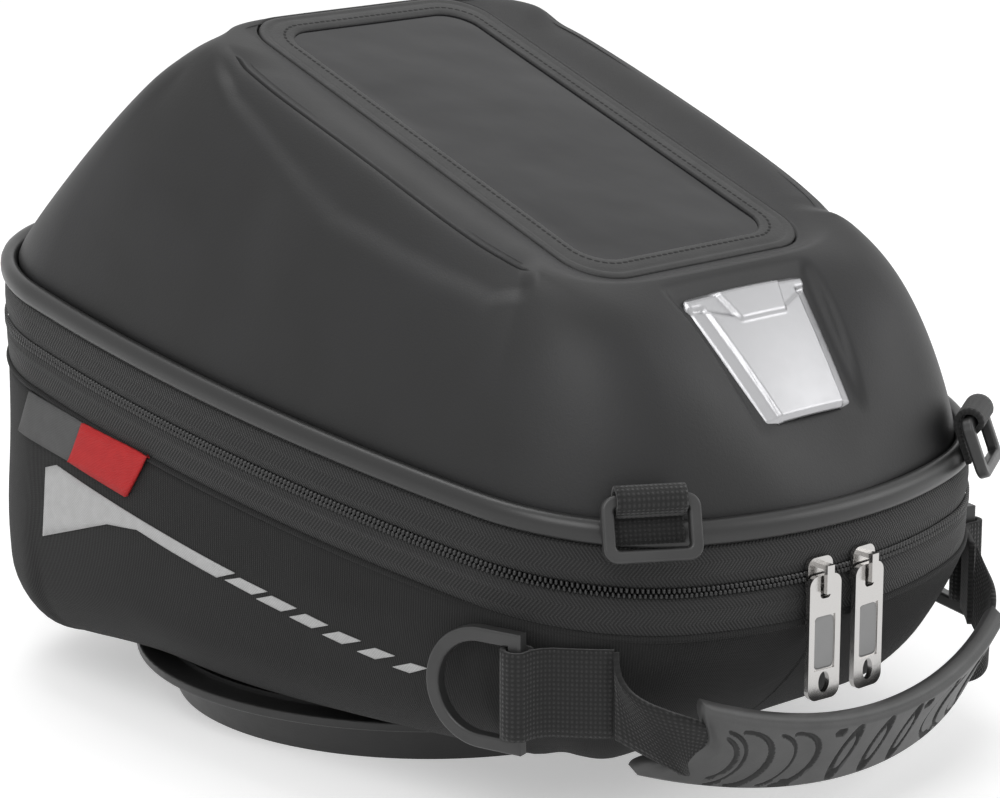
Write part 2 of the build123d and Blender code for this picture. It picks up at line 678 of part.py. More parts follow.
def zip_slider(heading):
    """Outer plate with rounded corners and the bridge that holds the pull."""
    plate = Pos(0, 0, SLIDER_THICKNESS / 2) * Box(SLIDER_WIDTH, SLIDER_HEIGHT, SLIDER_THICKNESS)
    plate = fillet(plate.edges().filter_by(Axis.Z), 2.5)
    arch = Rectangle(BRIDGE_SPAN, 2 * BRIDGE_RISE) - Rectangle(BRIDGE_SPAN - 2 * BRIDGE_BAR,
                                                              2 * (BRIDGE_RISE - BRIDGE_BAR))
    arch = arch & Pos(0, BRIDGE_RISE / 2) * Rectangle(BRIDGE_SPAN, BRIDGE_RISE)
    bridge = extrude(Plane.YZ * arch, BRIDGE_BAR, both=True)
    return slider_frame(heading) * (plate + Pos(0, 0, SLIDER_THICKNESS) * bridge)


def zip_pull(heading):
    """Framed pull hanging from the bridge, with an oval end hole and a sunk panel."""
    blade = RectangleRounded(PULL_WIDTH, PULL_LENGTH, 3.0)
    eye = Pos(0, PULL_LENGTH / 2 - PULL_BAR - 2.4) * RectangleRounded(3.8, 4.8, 1.2)
    hole = Pos(0, 5.0 - PULL_LENGTH / 2) * Ellipse(2.0, 3.0)
    plate = extrude(blade - eye - hole, PULL_THICKNESS / 2, both=True)
    panel = Pos(0, -1.5, PULL_THICKNESS / 2) * Box(PULL_WIDTH - 4, PULL_LENGTH - 20, 0.8)
    hang = Pos(0, PULL_BAR / 2 - PULL_LENGTH / 2, SLIDER_THICKNESS + (BRIDGE_RISE - BRIDGE_BAR) / 2)
    return slider_frame(heading) * hang * (plate - panel)


def zip_stop():
    """Crimped stop at the end of the teeth."""
    centre, _, radius, _, _ = RIM[-2]
    turn = 180 - degrees(asin((HINGE_HALF_WIDTH + 2.0 - centre) / radius))
    return rim_frame(turn, 0.52, seam_z(rim_point(turn)[1]) - 1.1) * Box(2.0, 1.5, 1.0)


def build():
    os.makedirs("parts", exist_ok=True)
    write("lid_shell", lid_shell())
    write("window_film", window_film())
    write("window_border", window_border())
    write("pocket_tray", pocket_tray())
    write("pocket_flap", pocket_flap())
    write("badge_plate", badge_plate())
    write("badge_studs", *badge_studs())
    write("lid_piping", lid_piping())
    write("zip_tape_upper", zip_band(TAPE_INSET, TAPE_WALL, TEETH_TOP, LID_LOW))
    write("zip_teeth_upper", zip_band(0, TEETH_WALL, TEETH_GAP, TEETH_TOP))
    write("zip_tape_lower", zip_band(TAPE_INSET, TAPE_WALL, -LID_LOW, -TEETH_TOP))
    write("zip_teeth_lower", zip_band(0, TEETH_WALL, -TEETH_TOP, -TEETH_GAP))
    write("hinge_gusset_lid", hinge_band(TEETH_GAP, LID_LOW))
    write("hinge_gusset_tub", hinge_band(-LID_LOW, -TEETH_GAP))
    write("tub_shell", tub_shell())
    write("floor_board", floor_board())
    write("lock_housing", lock_housing())
    write("lock_flange", lock_flange())
    write("spacer_pad", ring_plate(PAD_RADIUS, BACKING_BORE, FLANGE_TOP, TUB_FLOOR - FLANGE_TOP))
    write("backing_ring", ring_plate(BACKING_RADIUS, BACKING_BORE, BACKING_LOW, BACKING_THICKNESS))
    write("lock_screws", *lock_screws())
    write("latch_bolt", latch_bolt())
    write("release_tab", release_tab())
    write("latch_spring", latch_spring())
    write("handle_grip", handle_grip())
    write("side_tab", flank_patch(-1, 0, TAB_THICKNESS, TAB))
    for name, side in SIDES.items():
        write(f"reflector_{name}", *reflector(side))
    both_sides("lid_ring", lid_ring())
    both_sides("ring_loop", ring_loop())
    both_sides("d_ring", d_ring())
    both_sides("side_strap", *side_strap())
    both_sides("handle_webbing", handle_webbing())
    for name, heading in SLIDER_HEADINGS.items():
        write(f"zip_slider_{name}", zip_slider(heading))
        write(f"zip_pull_{name}", zip_pull(heading))
    stop = zip_stop()
    write("zip_stops", stop, mirror(stop, about=Plane.YZ))


build()
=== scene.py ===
import math

import bpy
import numpy as np
from mathutils import Matrix, Vector

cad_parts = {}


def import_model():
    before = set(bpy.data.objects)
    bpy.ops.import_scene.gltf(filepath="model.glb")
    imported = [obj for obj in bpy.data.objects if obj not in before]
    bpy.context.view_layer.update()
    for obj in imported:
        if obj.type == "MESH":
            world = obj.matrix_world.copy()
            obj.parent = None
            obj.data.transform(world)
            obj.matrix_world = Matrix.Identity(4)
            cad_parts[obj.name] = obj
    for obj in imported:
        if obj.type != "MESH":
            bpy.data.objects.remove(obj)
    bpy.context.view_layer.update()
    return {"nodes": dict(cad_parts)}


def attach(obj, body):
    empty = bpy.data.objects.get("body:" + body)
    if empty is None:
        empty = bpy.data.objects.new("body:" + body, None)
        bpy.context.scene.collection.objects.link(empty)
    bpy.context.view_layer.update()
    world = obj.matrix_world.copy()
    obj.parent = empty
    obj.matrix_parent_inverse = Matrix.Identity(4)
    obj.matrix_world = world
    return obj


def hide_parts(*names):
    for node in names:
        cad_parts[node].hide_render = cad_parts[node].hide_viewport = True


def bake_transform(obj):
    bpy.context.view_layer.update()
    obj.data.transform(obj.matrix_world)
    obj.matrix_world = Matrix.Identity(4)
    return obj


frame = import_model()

# Tank bag. Lengths below are millimetres and become metres where a mesh is made.
MM = 0.001


# --- Camera ---
def add_camera():
    turn, rise = math.radians(42.39), math.radians(14.33)
    right = Vector((math.cos(turn), -math.sin(turn), 0))
    back = Vector((-math.sin(turn) * math.cos(rise), -math.cos(turn) * math.cos(rise), math.sin(rise)))
    up = back.cross(right)
    data = bpy.data.cameras.new("camera")
    data.sensor_width = 36.0
    data.lens = 127.77
    data.clip_start = 0.01
    camera = bpy.data.objects.new("camera", data)
    place = right * 0.02077 + up * 0.08547 + back * 1.1159
    turned = Matrix((right, up, back)).transposed().to_4x4()
    camera.matrix_world = Matrix.Translation(place) @ turned
    bpy.context.scene.collection.objects.link(camera)
    bpy.context.scene.camera = camera


add_camera()


# --- Materials ---
class Nodes:
    """A material's node tree, with short calls for the few kinds of node used here."""

    def __init__(self, name, colour, rough, metal=0.0, spec=0.5):
        self.material = bpy.data.materials.new(name)
        self.material.use_nodes = True
        self.tree = self.material.node_tree
        self.shader = self.tree.nodes["Principled BSDF"]
        self.shader.inputs["Base Color"].default_value = (*colour, 1)
        self.shader.inputs["Roughness"].default_value = rough
        self.shader.inputs["Metallic"].default_value = metal
        self.shader.inputs["Specular IOR Level"].default_value = spec
        self.material.diffuse_color = (*colour, 1)

    def add(self, kind, **settings):
        node = self.tree.nodes.new(kind)
        for key, value in settings.items():
            setattr(node, key, value)
        return node

    def link(self, output, target):
        self.tree.links.new(output, target)

    def coords(self, kind="Object"):
        return self.add("ShaderNodeTexCoord").outputs[kind]

    def split(self, vector):
        node = self.add("ShaderNodeSeparateXYZ")
        self.link(vector, node.inputs[0])
        return node.outputs

    def math(self, operation, first, second=None, third=None):
        node = self.add("ShaderNodeMath", operation=operation)
        for slot, value in enumerate((first, second, third)):
            if value is None:
                continue
            if isinstance(value, (int, float)):
                node.inputs[slot].default_value = value
            else:
                self.link(value, node.inputs[slot])
        return node.outputs[0]

    def wave(self, value, pitch):
        """A cosine from 0 to 1 that repeats at this pitch, in millimetres."""
        turned = self.math("MULTIPLY", value, 2 * math.pi / (pitch * MM))
        return self.math("MULTIPLY_ADD", self.math("COSINE", turned), 0.5, 0.5)

    def noise(self, size, detail=3.0):
        """Noise whose lumps are about this size, in millimetres."""
        node = self.add("ShaderNodeTexNoise")
        node.inputs["Scale"].default_value = 1 / (size * MM)
        node.inputs["Detail"].default_value = detail
        self.link(self.coords(), node.inputs["Vector"])
        return node.outputs[0]

    def cells(self, size):
        """Pebbled cells of about this size, in millimetres."""
        node = self.add("ShaderNodeTexVoronoi", feature="SMOOTH_F1")
        node.inputs["Scale"].default_value = 1 / (size * MM)
        self.link(self.coords(), node.inputs["Vector"])
        return node.outputs["Distance"]

    def ramp(self, value, low, high, start=0.0, end=1.0):
        """Colour from low to high as the value goes from start to end."""
        node = self.add("ShaderNodeValToRGB")
        node.color_ramp.elements[0].position = start
        node.color_ramp.elements[1].position = end
        node.color_ramp.elements[0].color = (*low, 1)
        node.color_ramp.elements[1].color = (*high, 1)
        self.link(value, node.inputs[0])
        return node.outputs[0]

    def colour(self, value, low, high, start=0.0, end=1.0):
        self.link(self.ramp(value, low, high, start, end), self.shader.inputs["Base Color"])

    def rough(self, value, low, high):
        """Roughness from low to high as the value goes from 0 to 1."""
        node = self.add("ShaderNodeMapRange")
        node.inputs["To Min"].default_value = low
        node.inputs["To Max"].default_value = high
        self.link(value, node.inputs[0])
        self.link(node.outputs[0], self.shader.inputs["Roughness"])

    def sheen(self, weight, rough=None):
        self.shader.inputs["Sheen Weight"].default_value = weight
        if rough is not None:
            self.shader.inputs["Sheen Roughness"].default_value = rough

    def bump(self, height, depth):
        """Bump of this depth in millimetres, added to any before it."""
        node = self.add("ShaderNodeBump")
        node.inputs["Strength"].default_value = 1.0
        node.inputs["Distance"].default_value = depth * MM
        self.link(height, node.inputs["Height"])
        before = self.shader.inputs["Normal"].links
        if before:
            self.link(before[0].from_socket, node.inputs["Normal"])
        self.link(node.outputs[0], self.shader.inputs["Normal"])


def grey(value, tint=0.0):
    """Grey of this level, with its blue raised by the tint."""
    return (value, value, value * (1 + tint))


def soft_touch():
    """Matt rubbery skin with a fine pebble."""
    m = Nodes("soft_touch", grey(0.014), 0.48, spec=0.36)
    m.rough(m.noise(18), 0.44, 0.54)
    m.colour(m.noise(40, 2), grey(0.012), grey(0.017, 0.05), 0.3, 0.7)
    m.bump(m.noise(0.45, 2), 0.035)
    m.bump(m.cells(0.9), 0.02)
    return m.material


def piping_rubber():
    m = Nodes("piping_rubber", grey(0.014), 0.36)
    m.rough(m.noise(9), 0.31, 0.42)
    m.bump(m.noise(0.5, 2), 0.02)
    return m.material


def herringbone(name, base, lift, pitch=1.15, stripe=7.5):
    """Slanted threads whose slope turns over at each stripe; U runs along the tape and V across."""
    m = Nodes(name, grey(base), 0.72, spec=0.3)
    u, v, _ = m.split(m.coords("UV"))
    fold = m.math("PINGPONG", v, stripe / 2 * MM)
    thread = m.wave(m.math("ADD", u, m.math("MULTIPLY", fold, 0.8)), pitch)
    yarn = m.wave(v, 0.62)
    height = m.math("MULTIPLY", thread, m.math("MULTIPLY_ADD", yarn, 0.4, 0.6))
    m.colour(height, grey(base), grey(lift), 0.15, 0.9)
    m.bump(height, 0.22)
    m.bump(m.noise(0.6, 4), 0.08)
    m.sheen(0.12, 0.45)
    return m.material


def tub_cloth():
    """Ribbed polyester: fine upright ribs crossed by a finer thread."""
    m = Nodes("tub_cloth", grey(0.013), 0.78, spec=0.2)
    u, v, _ = m.split(m.coords("UV"))
    rib = m.wave(u, 0.82)
    thread = m.wave(m.math("ADD", v, m.math("MULTIPLY", u, 0.5)), 0.55)
    height = m.math("MULTIPLY_ADD", thread, 0.35, m.math("MULTIPLY", rib, 0.65))
    shade = m.math("MULTIPLY_ADD", m.noise(26, 3), 0.35, m.math("MULTIPLY", height, 0.65))
    m.colour(shade, grey(0.006), grey(0.022), 0.1, 0.9)
    m.bump(height, 0.16)
    m.bump(m.noise(0.5, 4), 0.07)
    m.sheen(0.06, 0.5)
    return m.material


def webbing_cloth():
    """Plain weave; the coarser check picks out every second thread."""
    m = Nodes("webbing", grey(0.02), 0.78, spec=0.3)
    u, v, _ = m.split(m.coords("UV"))
    along, across = m.wave(u, 1.25), m.wave(v, 1.3)
    over = m.wave(u, 2.5)
    side = m.wave(v, 2.6)
    check = m.math("ABSOLUTE", m.math("SUBTRACT", over, side))
    height = m.math("MAXIMUM", m.math("MULTIPLY", along, across), m.math("MULTIPLY", check, 0.4))
    m.colour(height, grey(0.009), grey(0.034), 0.1, 0.95)
    m.bump(height, 0.3)
    m.bump(m.noise(0.5, 4), 0.1)
    m.sheen(0.15)
    return m.material


def plastic(name, value, rough=0.38, grain=0.5, depth=0.03):
    m = Nodes(name, grey(value), rough)
    m.rough(m.noise(5), rough - 0.05, rough + 0.07)
    m.colour(m.noise(11), grey(value * 0.85), grey(value * 1.2), 0.3, 0.7)
    m.bump(m.noise(grain, 3), depth)
    return m.material


def metal(name, value, rough, brushed=0.0):
    """Bare or plated metal; brushed is the pitch of its fine lines along X."""
    m = Nodes(name, value, rough, metal=1.0)
    m.rough(m.noise(4, 4), max(rough - 0.06, 0.03), rough + 0.08)
    m.bump(m.noise(1.5, 3), 0.015)
    if brushed:
        x, _, _ = m.split(m.coords())
        m.bump(m.wave(m.math("ADD", x, m.math("MULTIPLY", m.noise(3, 4), 0.0006)), brushed), 0.006)
    return m.material


def reflective():
    """Retroreflective sheet with a diamond net."""
    m = Nodes("reflective", grey(0.5), 0.42, spec=0.6)
    _, y, z = m.split(m.coords())
    net = m.math("MULTIPLY", m.wave(m.math("ADD", y, z), 0.9), m.wave(m.math("SUBTRACT", y, z), 0.9))
    shade = m.math("MULTIPLY_ADD", m.noise(3, 4), 0.5, m.math("MULTIPLY", net, 0.5))
    m.colour(shade, grey(0.40), grey(0.56), 0.2, 0.8)
    m.bump(net, 0.05)
    return m.material


def label_cloth(name, low, high):
    m = Nodes(name, high, 0.66, spec=0.35)
    _, y, z = m.split(m.coords())
    weave = m.math("MULTIPLY", m.wave(y, 0.5), m.wave(z, 0.5))
    m.colour(m.math("MULTIPLY_ADD", m.noise(4), 0.4, m.math("MULTIPLY", weave, 0.6)), low, high, 0.1, 0.9)
    m.bump(weave, 0.1)
    return m.material


def clear_film():
    """Film over the dark pocket: nearly black, with shallow ripples in its gloss."""
    m = Nodes("clear_film", (0.005, 0.005, 0.006), 0.09, spec=0.24)
    m.bump(m.noise(26, 1), 0.45)
    m.bump(m.noise(9, 2), 0.05)
    m.rough(m.noise(14), 0.07, 0.14)
    return m.material


DOME = soft_touch()
PIPING = piping_rubber()
TAPE = herringbone("zip_tape", 0.010, 0.036)
CLOTH = tub_cloth()
WEBBING = webbing_cloth()
TEETH = plastic("zip_teeth", 0.011, 0.3, 0.3, 0.01)
RING = plastic("ring_plastic", 0.030, 0.36)
LOCK = plastic("lock_plastic", 0.020, 0.42, 0.8, 0.04)
GRIP = plastic("grip_rubber", 0.058, 0.46, 0.6, 0.04)
CUT = plastic("grip_engraving", 0.014, 0.6, 0.6, 0.04)
BORDER = plastic("border_cloth", 0.021, 0.56, 0.9, 0.10)
STITCH = plastic("stitch_hole", 0.003, 0.8, 0.3, 0.1)
POCKET = plastic("pocket_cloth", 0.008, 0.7, 0.6, 0.12)
BOARD = plastic("stiff_board", 0.02, 0.7, 0.9, 0.10)
BADGE = metal("badge_metal", (0.42, 0.42, 0.43), 0.36, 0.5)
CHROME = metal("plated_steel", (0.50, 0.49, 0.48), 0.22)
PANEL = metal("brushed_panel", (0.22, 0.22, 0.22), 0.38, 0.5)
STEEL = metal("steel", (0.55, 0.55, 0.56), 0.32)
REFLECT = reflective()
TAB_GREY = label_cloth("tab_grey", grey(0.07), grey(0.13))
TAB_RED = label_cloth("tab_red", (0.42, 0.012, 0.014), (0.68, 0.03, 0.03))
FILM = clear_film()

CAD_LOOK = {
    "pocket_tray": POCKET, "pocket_flap": POCKET, "badge_studs": STEEL, "floor_board": BOARD,
    "lock_housing": LOCK, "lock_flange": LOCK, "spacer_pad": PIPING, "backing_ring": STEEL,
    "lock_screws": STEEL, "zip_stops": CHROME, "latch_bolt": LOCK, "release_tab": RING,
    "latch_spring": STEEL, "lid_ring_left": RING, "lid_ring_right": RING, "d_ring_left": RING,
    "d_ring_right": RING, "zip_slider_left": CHROME, "zip_slider_right": CHROME,
    "zip_pull_left": CHROME, "zip_pull_right": CHROME,
}
for node, look in CAD_LOOK.items():
    data = frame["nodes"][node].data
    data.materials.clear()
    data.materials.append(look)


# --- The bag's outline ---
# Headings are degrees round from the nose; an inset is measured inwards from the outline.
ARCS = ((166.4, 18.1), (60.6, 59.2), (587.1, 18.3), (57.8, 82.6))     # radius and turn of each arc
NOSE, TAIL = -173.7, 118.06
SEAM_RISE = 0.151       # climb of the zip line towards the tail


def rim_arcs():
    """Centre, radius, start and end heading of each arc from the nose to the tail."""
    x, y, heading, arcs = 0.0, NOSE, 0.0, []
    for radius, turn in ARCS:
        h = math.radians(heading)
        cx, cy = x - radius * math.sin(h), y + radius * math.cos(h)
        arcs.append((cx, cy, radius, heading, heading + turn))
        heading += turn
        h = math.radians(heading)
        x, y = cx + radius * math.sin(h), cy - radius * math.cos(h)
    h = math.radians(heading)
    radius = x / math.sin(h)
    arcs.append((0.0, y + radius * math.cos(h), radius, heading, 180.0))
    return arcs


RIM = rim_arcs()


def rim_point(heading, inset=0.0):
    """Point of the outline at a heading."""
    side = -1 if heading < 0 else 1
    turn = abs(heading)
    cx, cy, radius, _, _ = next(arc for arc in RIM if turn <= arc[4] + 1e-9)
    h = math.radians(turn)
    return side * (cx + (radius - inset) * math.sin(h)), cy - (radius - inset) * math.cos(h)


def seam(y):
    """Height of the zip line."""
    return 100.0 + SEAM_RISE * y


# Length of half the outline
HALF = sum(radius * math.radians(end - start) for _, _, radius, start, end in RIM)


def heading_at(length):
    """Heading at a distance round the outline from the nose, towards +X."""
    length = length % (2 * HALF)
    side = 1 if length <= HALF else -1
    left = length if side > 0 else 2 * HALF - length
    for _, _, radius, start, end in RIM:
        arc = radius * math.radians(end - start)
        if left <= arc + 1e-9:
            return side * (start + math.degrees(left / radius))
        left -= arc
    return side * 180.0


def outline_steps(count, start=0.0, end=None):
    """(length, heading) pairs evenly spaced round the outline."""
    end = 2 * HALF if end is None else end
    lengths = np.linspace(start, end, count)
    return [(s, heading_at(s)) for s in lengths]


def smooth(value, low, high):
    """Eased step from 0 at low to 1 at high."""
    t = min(max((value - low) / (high - low), 0.0), 1.0)
    return t * t * (3 - 2 * t)


def outward(heading):
    """Unit vector out of the outline."""
    h = math.radians(heading)
    return math.sin(h), -math.cos(h)


# --- Mesh making ---
def make(name, points, faces, look, uvs=None, shade=True):
    """An object from points in millimetres."""
    mesh = bpy.data.meshes.new(name)
    mesh.from_pydata([tuple(c * MM for c in p) for p in points], [], faces)
    if uvs is not None:
        layer = mesh.uv_layers.new(name="weave")
        loops = np.array([v.vertex_index for v in mesh.loops])
        layer.data.foreach_set("uv", (np.array(uvs)[loops] * MM).astype(np.float32).ravel())
    if shade:
        mesh.polygons.foreach_set("use_smooth", [True] * len(mesh.polygons))
    mesh.materials.append(look)
    obj = bpy.data.objects.new(name, mesh)
    bpy.context.scene.collection.objects.link(obj)
    return obj


def grid_faces(rows, columns, wrap=False):
    """Quads of a grid of points; wrap closes each row."""
    faces = []
    for r in range(rows - 1):
        for c in range(columns if wrap else columns - 1):
            d = (c + 1) % columns
            faces.append((r * columns + c, r * columns + d, (r + 1) * columns + d, (r + 1) * columns + c))
    return faces


def grid(name, rows, look, wrap=False, uvs=None):
    columns = len(rows[0])
    return make(name, [p for row in rows for p in row], grid_faces(len(rows), columns, wrap), look, uvs)


def thicken(obj, thickness, offset=-1.0):
    mod = obj.modifiers.new("thickness", "SOLIDIFY")
    mod.thickness = thickness * MM
    mod.offset = offset


def soften(obj, width):
    mod = obj.modifiers.new("edges", "BEVEL")
    mod.width = width * MM
    mod.segments = 2
    mod.limit_method = "ANGLE"
    mod.angle_limit = math.radians(40)


def place(obj, body, slot, *nodes):
    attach(obj, body)
    if nodes:
        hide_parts(*nodes)


def band_rows(profile, steps):
    """Rows round the outline; profile gives (inset, height above the seam)."""
    rows = []
    for inset, rise in profile:
        row = []
        for _, heading in steps:
            x, y = rim_point(heading, inset)
            row.append((x, y, seam(y) + rise))
        rows.append(row)
    return rows


def band_uvs(profile, steps):
    """U runs round the outline and V up the section."""
    uvs, run = [], 0.0
    for k, (inset, rise) in enumerate(profile):
        if k:
            run += math.hypot(inset - profile[k - 1][0], rise - profile[k - 1][1])
        uvs += [(s, run) for s, _ in steps]
    return uvs


HINGE_START = 58.0      # |x| at which the zip ends and the tail's cloth hinge begins


def zipped_steps(count):
    """Round the outline from one side of the tail hinge to the other."""
    centre, _, radius, _, _ = RIM[-2]
    turn = 180 - math.degrees(math.asin((HINGE_START - centre) / radius))
    reach = sum(r * math.radians(e - s) for _, _, r, s, e in RIM[:3])
    reach += radius * math.radians(turn - RIM[-2][3])
    return outline_steps(count, -reach, reach), reach


# --- Dome ---
CROWN_FRONT, CROWN_REAR, CROWN_HALF = -125.0, 38.0, 66.0
WINDOW_Y, WINDOW_W, WINDOW_L, BORDER_W = -40.6, 71.0, 144.5, 9.0
SLOPE = 0.361
COS = 1 / math.hypot(1, SLOPE)
WINDOW_RADIUS = 10
DOME_INSET = 4.5


def window_z(y):
    return 192.4 + SLOPE * y


def crown_z(y):
    """Rim of the dome's top: it climbs with the window and levels off at the far end."""
    line, cap, blur = 195.4 + 0.364 * y, 206.0, 2.5
    return cap - blur * math.log1p(math.exp(min((cap - line) / blur, 60)))


def crown_point(heading):
    """Point on the rim of the dome's top that a heading of the outline rises to."""
    x, y = rim_point(heading, DOME_INSET)
    turn = math.atan2(x / rim_point(90)[0], ((TAIL + NOSE) / 2 - y) / ((TAIL - NOSE) / 2))
    power = 2 / 4.6
    across, along = math.sin(turn), -math.cos(turn)
    px = CROWN_HALF * abs(across) ** power * (1 if across > 0 else -1)
    py = (CROWN_REAR - CROWN_FRONT) / 2 * abs(along) ** power * (1 if along > 0 else -1)
    return px, (CROWN_REAR + CROWN_FRONT) / 2 + py


def dome_power(heading):
    """How full the dome's section is: higher at the nose, lower at the tail."""
    h = math.radians(heading)
    nose, flank, tail = max(math.cos(h), 0) ** 2, math.sin(h) ** 2, max(-math.cos(h), 0) ** 2
    ramp = 2.05 * math.exp(-(rim_point(heading)[0] / 38.0) ** 2) * nose
    return 3.43 * nose + 1.546 * flank + 0.82 * tail - ramp


def rect_point(share, width, length, radius):
    """Point at a share of the way round a rounded rectangle, from its front middle towards +X."""
    hw, hl = width / 2, length / 2
    quarter = math.pi * radius / 2
    runs = [hw - radius, quarter, 2 * (hl - radius), quarter, 2 * (hw - radius), quarter,
            2 * (hl - radius), quarter, hw - radius]
    left = (share % 1.0) * sum(runs)
    corners = ((hw - radius, -hl + radius, -90), (hw - radius, hl - radius, 0),
               (-hw + radius, hl - radius, 90), (-hw + radius, -hl + radius, 180))
    straight = ((0, -hl, 1, 0), (hw, -hl + radius, 0, 1), (hw - radius, hl, -1, 0),
                (-hw, hl - radius, 0, -1), (-hw + radius, -hl, 1, 0))
    for k, run in enumerate(runs):
        if left <= run + 1e-9:
            break
        left -= run
    if k % 2:
        cx, cy, start = corners[k // 2]
        a = math.radians(start) + left / radius
        return cx + radius * math.cos(a), cy + radius * math.sin(a)
    x, y, dx, dy = straight[k // 2]
    return x + dx * left, y + dy * left


WINDOW_LOOPS = {}


def rect_toward(x, y, grow):
    """Point of the window's outline, grown by this much, in the direction of a point."""
    width, length = WINDOW_W + 2 * grow, WINDOW_L + 2 * grow
    if grow not in WINDOW_LOOPS:
        shares = np.linspace(0, 1, 1441)
        points = [rect_point(s, width, length, WINDOW_RADIUS + grow * 0.5) for s in shares]
        angles = np.unwrap([math.atan2(px / width, -py / length) for px, py in points])
        WINDOW_LOOPS[grow] = (angles, points)
    angles, points = WINDOW_LOOPS[grow]
    want = math.atan2(x / width, -y / length) % (2 * math.pi)
    k = int(np.searchsorted(angles, want))
    return points[min(k, len(points) - 1)]


def to_window(u, v, lift=0.0):
    """Window plane coordinates to world: v runs up the slope, lift is along the plane's normal."""
    y = WINDOW_Y + v * COS
    return u, y - lift * SLOPE * COS, window_z(y) + lift * COS


def segment_distance(px, py, ax, ay, bx, by):
    """Distance to a segment, the side the point is on, and the share along it."""
    dx, dy = bx - ax, by - ay
    t = min(max(((px - ax) * dx + (py - ay) * dy) / (dx * dx + dy * dy), 0), 1)
    qx, qy = ax + dx * t, ay + dy * t
    cross = dx * (py - ay) - dy * (px - ax)
    return math.hypot(px - qx, py - qy), 1 if cross > 0 else -1, t


def line_distance(px, py, line):
    """Signed distance to a polyline, positive on its left, and the share of its length reached."""
    best = None
    for k in range(len(line) - 1):
        d, side, t = segment_distance(px, py, *line[k], *line[k + 1])
        if best is None or d < best[0] - 1e-9:
            best = (d, side, (k + t) / (len(line) - 1))
    return best[0] * best[1], best[2]


# Edge of the sunk facet beside the window, and the valley behind it, as (|x|, y) from the tail end
FACET = [(64.0, 22.0), (71.0, 4.0), (74.5, -20.0), (77.5, -48.0), (75.5, -74.0), (73.3, -88.0),
         (69.4, -104.0), (62.0, -114.0)]
VALLEY = [(70.0, 44.0), (75.0, 28.0), (79.0, 10.0), (83.0, -12.0), (87.0, -40.0)]
FACET_DEPTH, VALLEY_DEPTH, VALLEY_WIDTH = 2.2, 2.0, 7.5


def crease(x, y):
    """Depth by which the dome is sunk at a place, in millimetres."""
    d, along = line_distance(abs(x), y, FACET)
    ends = smooth(along, 0.0, 0.10) * (1 - smooth(along, 0.93, 1.0))
    depth = FACET_DEPTH * ends * (smooth(d, -20, -0.8) if d < 0 else 1 - smooth(d, 0, 5.0))
    v, along = line_distance(abs(x), y, VALLEY)
    ends = smooth(along, 0.0, 0.2) * (1 - smooth(along, 0.75, 1.0))
    return depth + VALLEY_DEPTH * ends * math.exp(-(v / VALLEY_WIDTH) ** 2)


def dome_point(heading, level):
    """Point of the dome's side, from its foot at level 0 to the crown at level 1."""
    (x0, y0), (x1, y1) = rim_point(heading, DOME_INSET), crown_point(heading)
    turn = math.radians(90 * level)
    share = 1 - math.cos(turn) ** (2 / dome_power(heading)) if level < 1 else 1.0
    up = math.sin(turn) ** (2 / 1.176)
    x, y = x0 + (x1 - x0) * share, y0 + (y1 - y0) * share
    start = seam(y) + 18
    return Vector((x, y, start + (crown_z(y) - start) * up))


def border_point(heading, grow):
    """Point on the window's border, in the window's plane, facing a heading of the crown."""
    cx, cy = crown_point(heading)
    return rect_toward(cx, (cy - WINDOW_Y) / COS, grow)


def shoulder_point(heading, share):
    """Point of the dome's top between its rim and the window's border."""
    cx, cy = crown_point(heading)
    wx, wy, _ = to_window(*border_point(heading, BORDER_W + 0.6))
    x, y = cx + (wx - cx) * share, cy + (wy - cy) * share
    return Vector((x, y, crown_z(y) + (window_z(y) - crown_z(y)) * smooth(share, 0.0, 0.94)))


def dome_shell():
    """Foot, side and shoulder of the dome, then a ledge that runs under the window's border."""
    steps = outline_steps(481)[:-1]
    rows = [[Vector((*rim_point(h, 4.6), seam(rim_point(h, 4.6)[1]) + rise)) for _, h in steps]
            for rise in (13.0, 15.5)]
    levels = [1 - (1 - k / 64) ** 1.15 for k in range(65)]
    rows += [[dome_point(h, level) for _, h in steps] for level in levels]
    body = len(rows)
    rows += [[shoulder_point(h, k / 10) for _, h in steps] for k in range(1, 11)]
    rows += [[Vector(to_window(*border_point(h, BORDER_W + 0.3 - inset), -1.6)) for _, h in steps]
             for inset in (0.0, 4.0, 7.5)]
    sink(rows, body)
    flat = [tuple(p) for row in rows for p in row]
    obj = make("lid_dome", flat, grid_faces(len(rows), len(steps), True), DOME)
    thicken(obj, 3.0)
    place(obj, "lid", "soft_touch_shell", "lid_shell")


def sink(rows, body):
    """Presses the facets, the valleys and the badge's seat into the dome, along its normals."""
    points = np.array([[tuple(p) for p in row] for row in rows])
    around = np.roll(points, -1, 1) - np.roll(points, 1, 1)
    upward = np.gradient(points, axis=0)
    normals = np.cross(around, upward)
    normals /= np.linalg.norm(normals, axis=2, keepdims=True) + 1e-12
    for r in range(3, body + 9):
        for c, p in enumerate(rows[r]):
            depth = crease(p.x, p.y) + seat_depth(p)
            if depth:
                rows[r][c] = p - Vector(normals[r, c]) * depth


BADGE_PLACE = Matrix.Translation((0, -144, 129)) @ Matrix.Rotation(math.radians(48.5), 4, "X")
BADGE_BACK = BADGE_PLACE.inverted()


def seat_depth(p):
    """Shallow dish round the badge, so that the plate lies in the dome."""
    u, v, w = BADGE_BACK @ p
    if abs(w) > 12 or abs(u) > 34 or abs(v) > 30:
        return 0.0
    inside = (1 - smooth(abs(u) - (21 + v * 0.16), 1.0, 5.0)) * (1 - smooth(abs(v), 22.0, 27.0))
    return max(w + 0.6, 0.0) * inside


dome_shell()


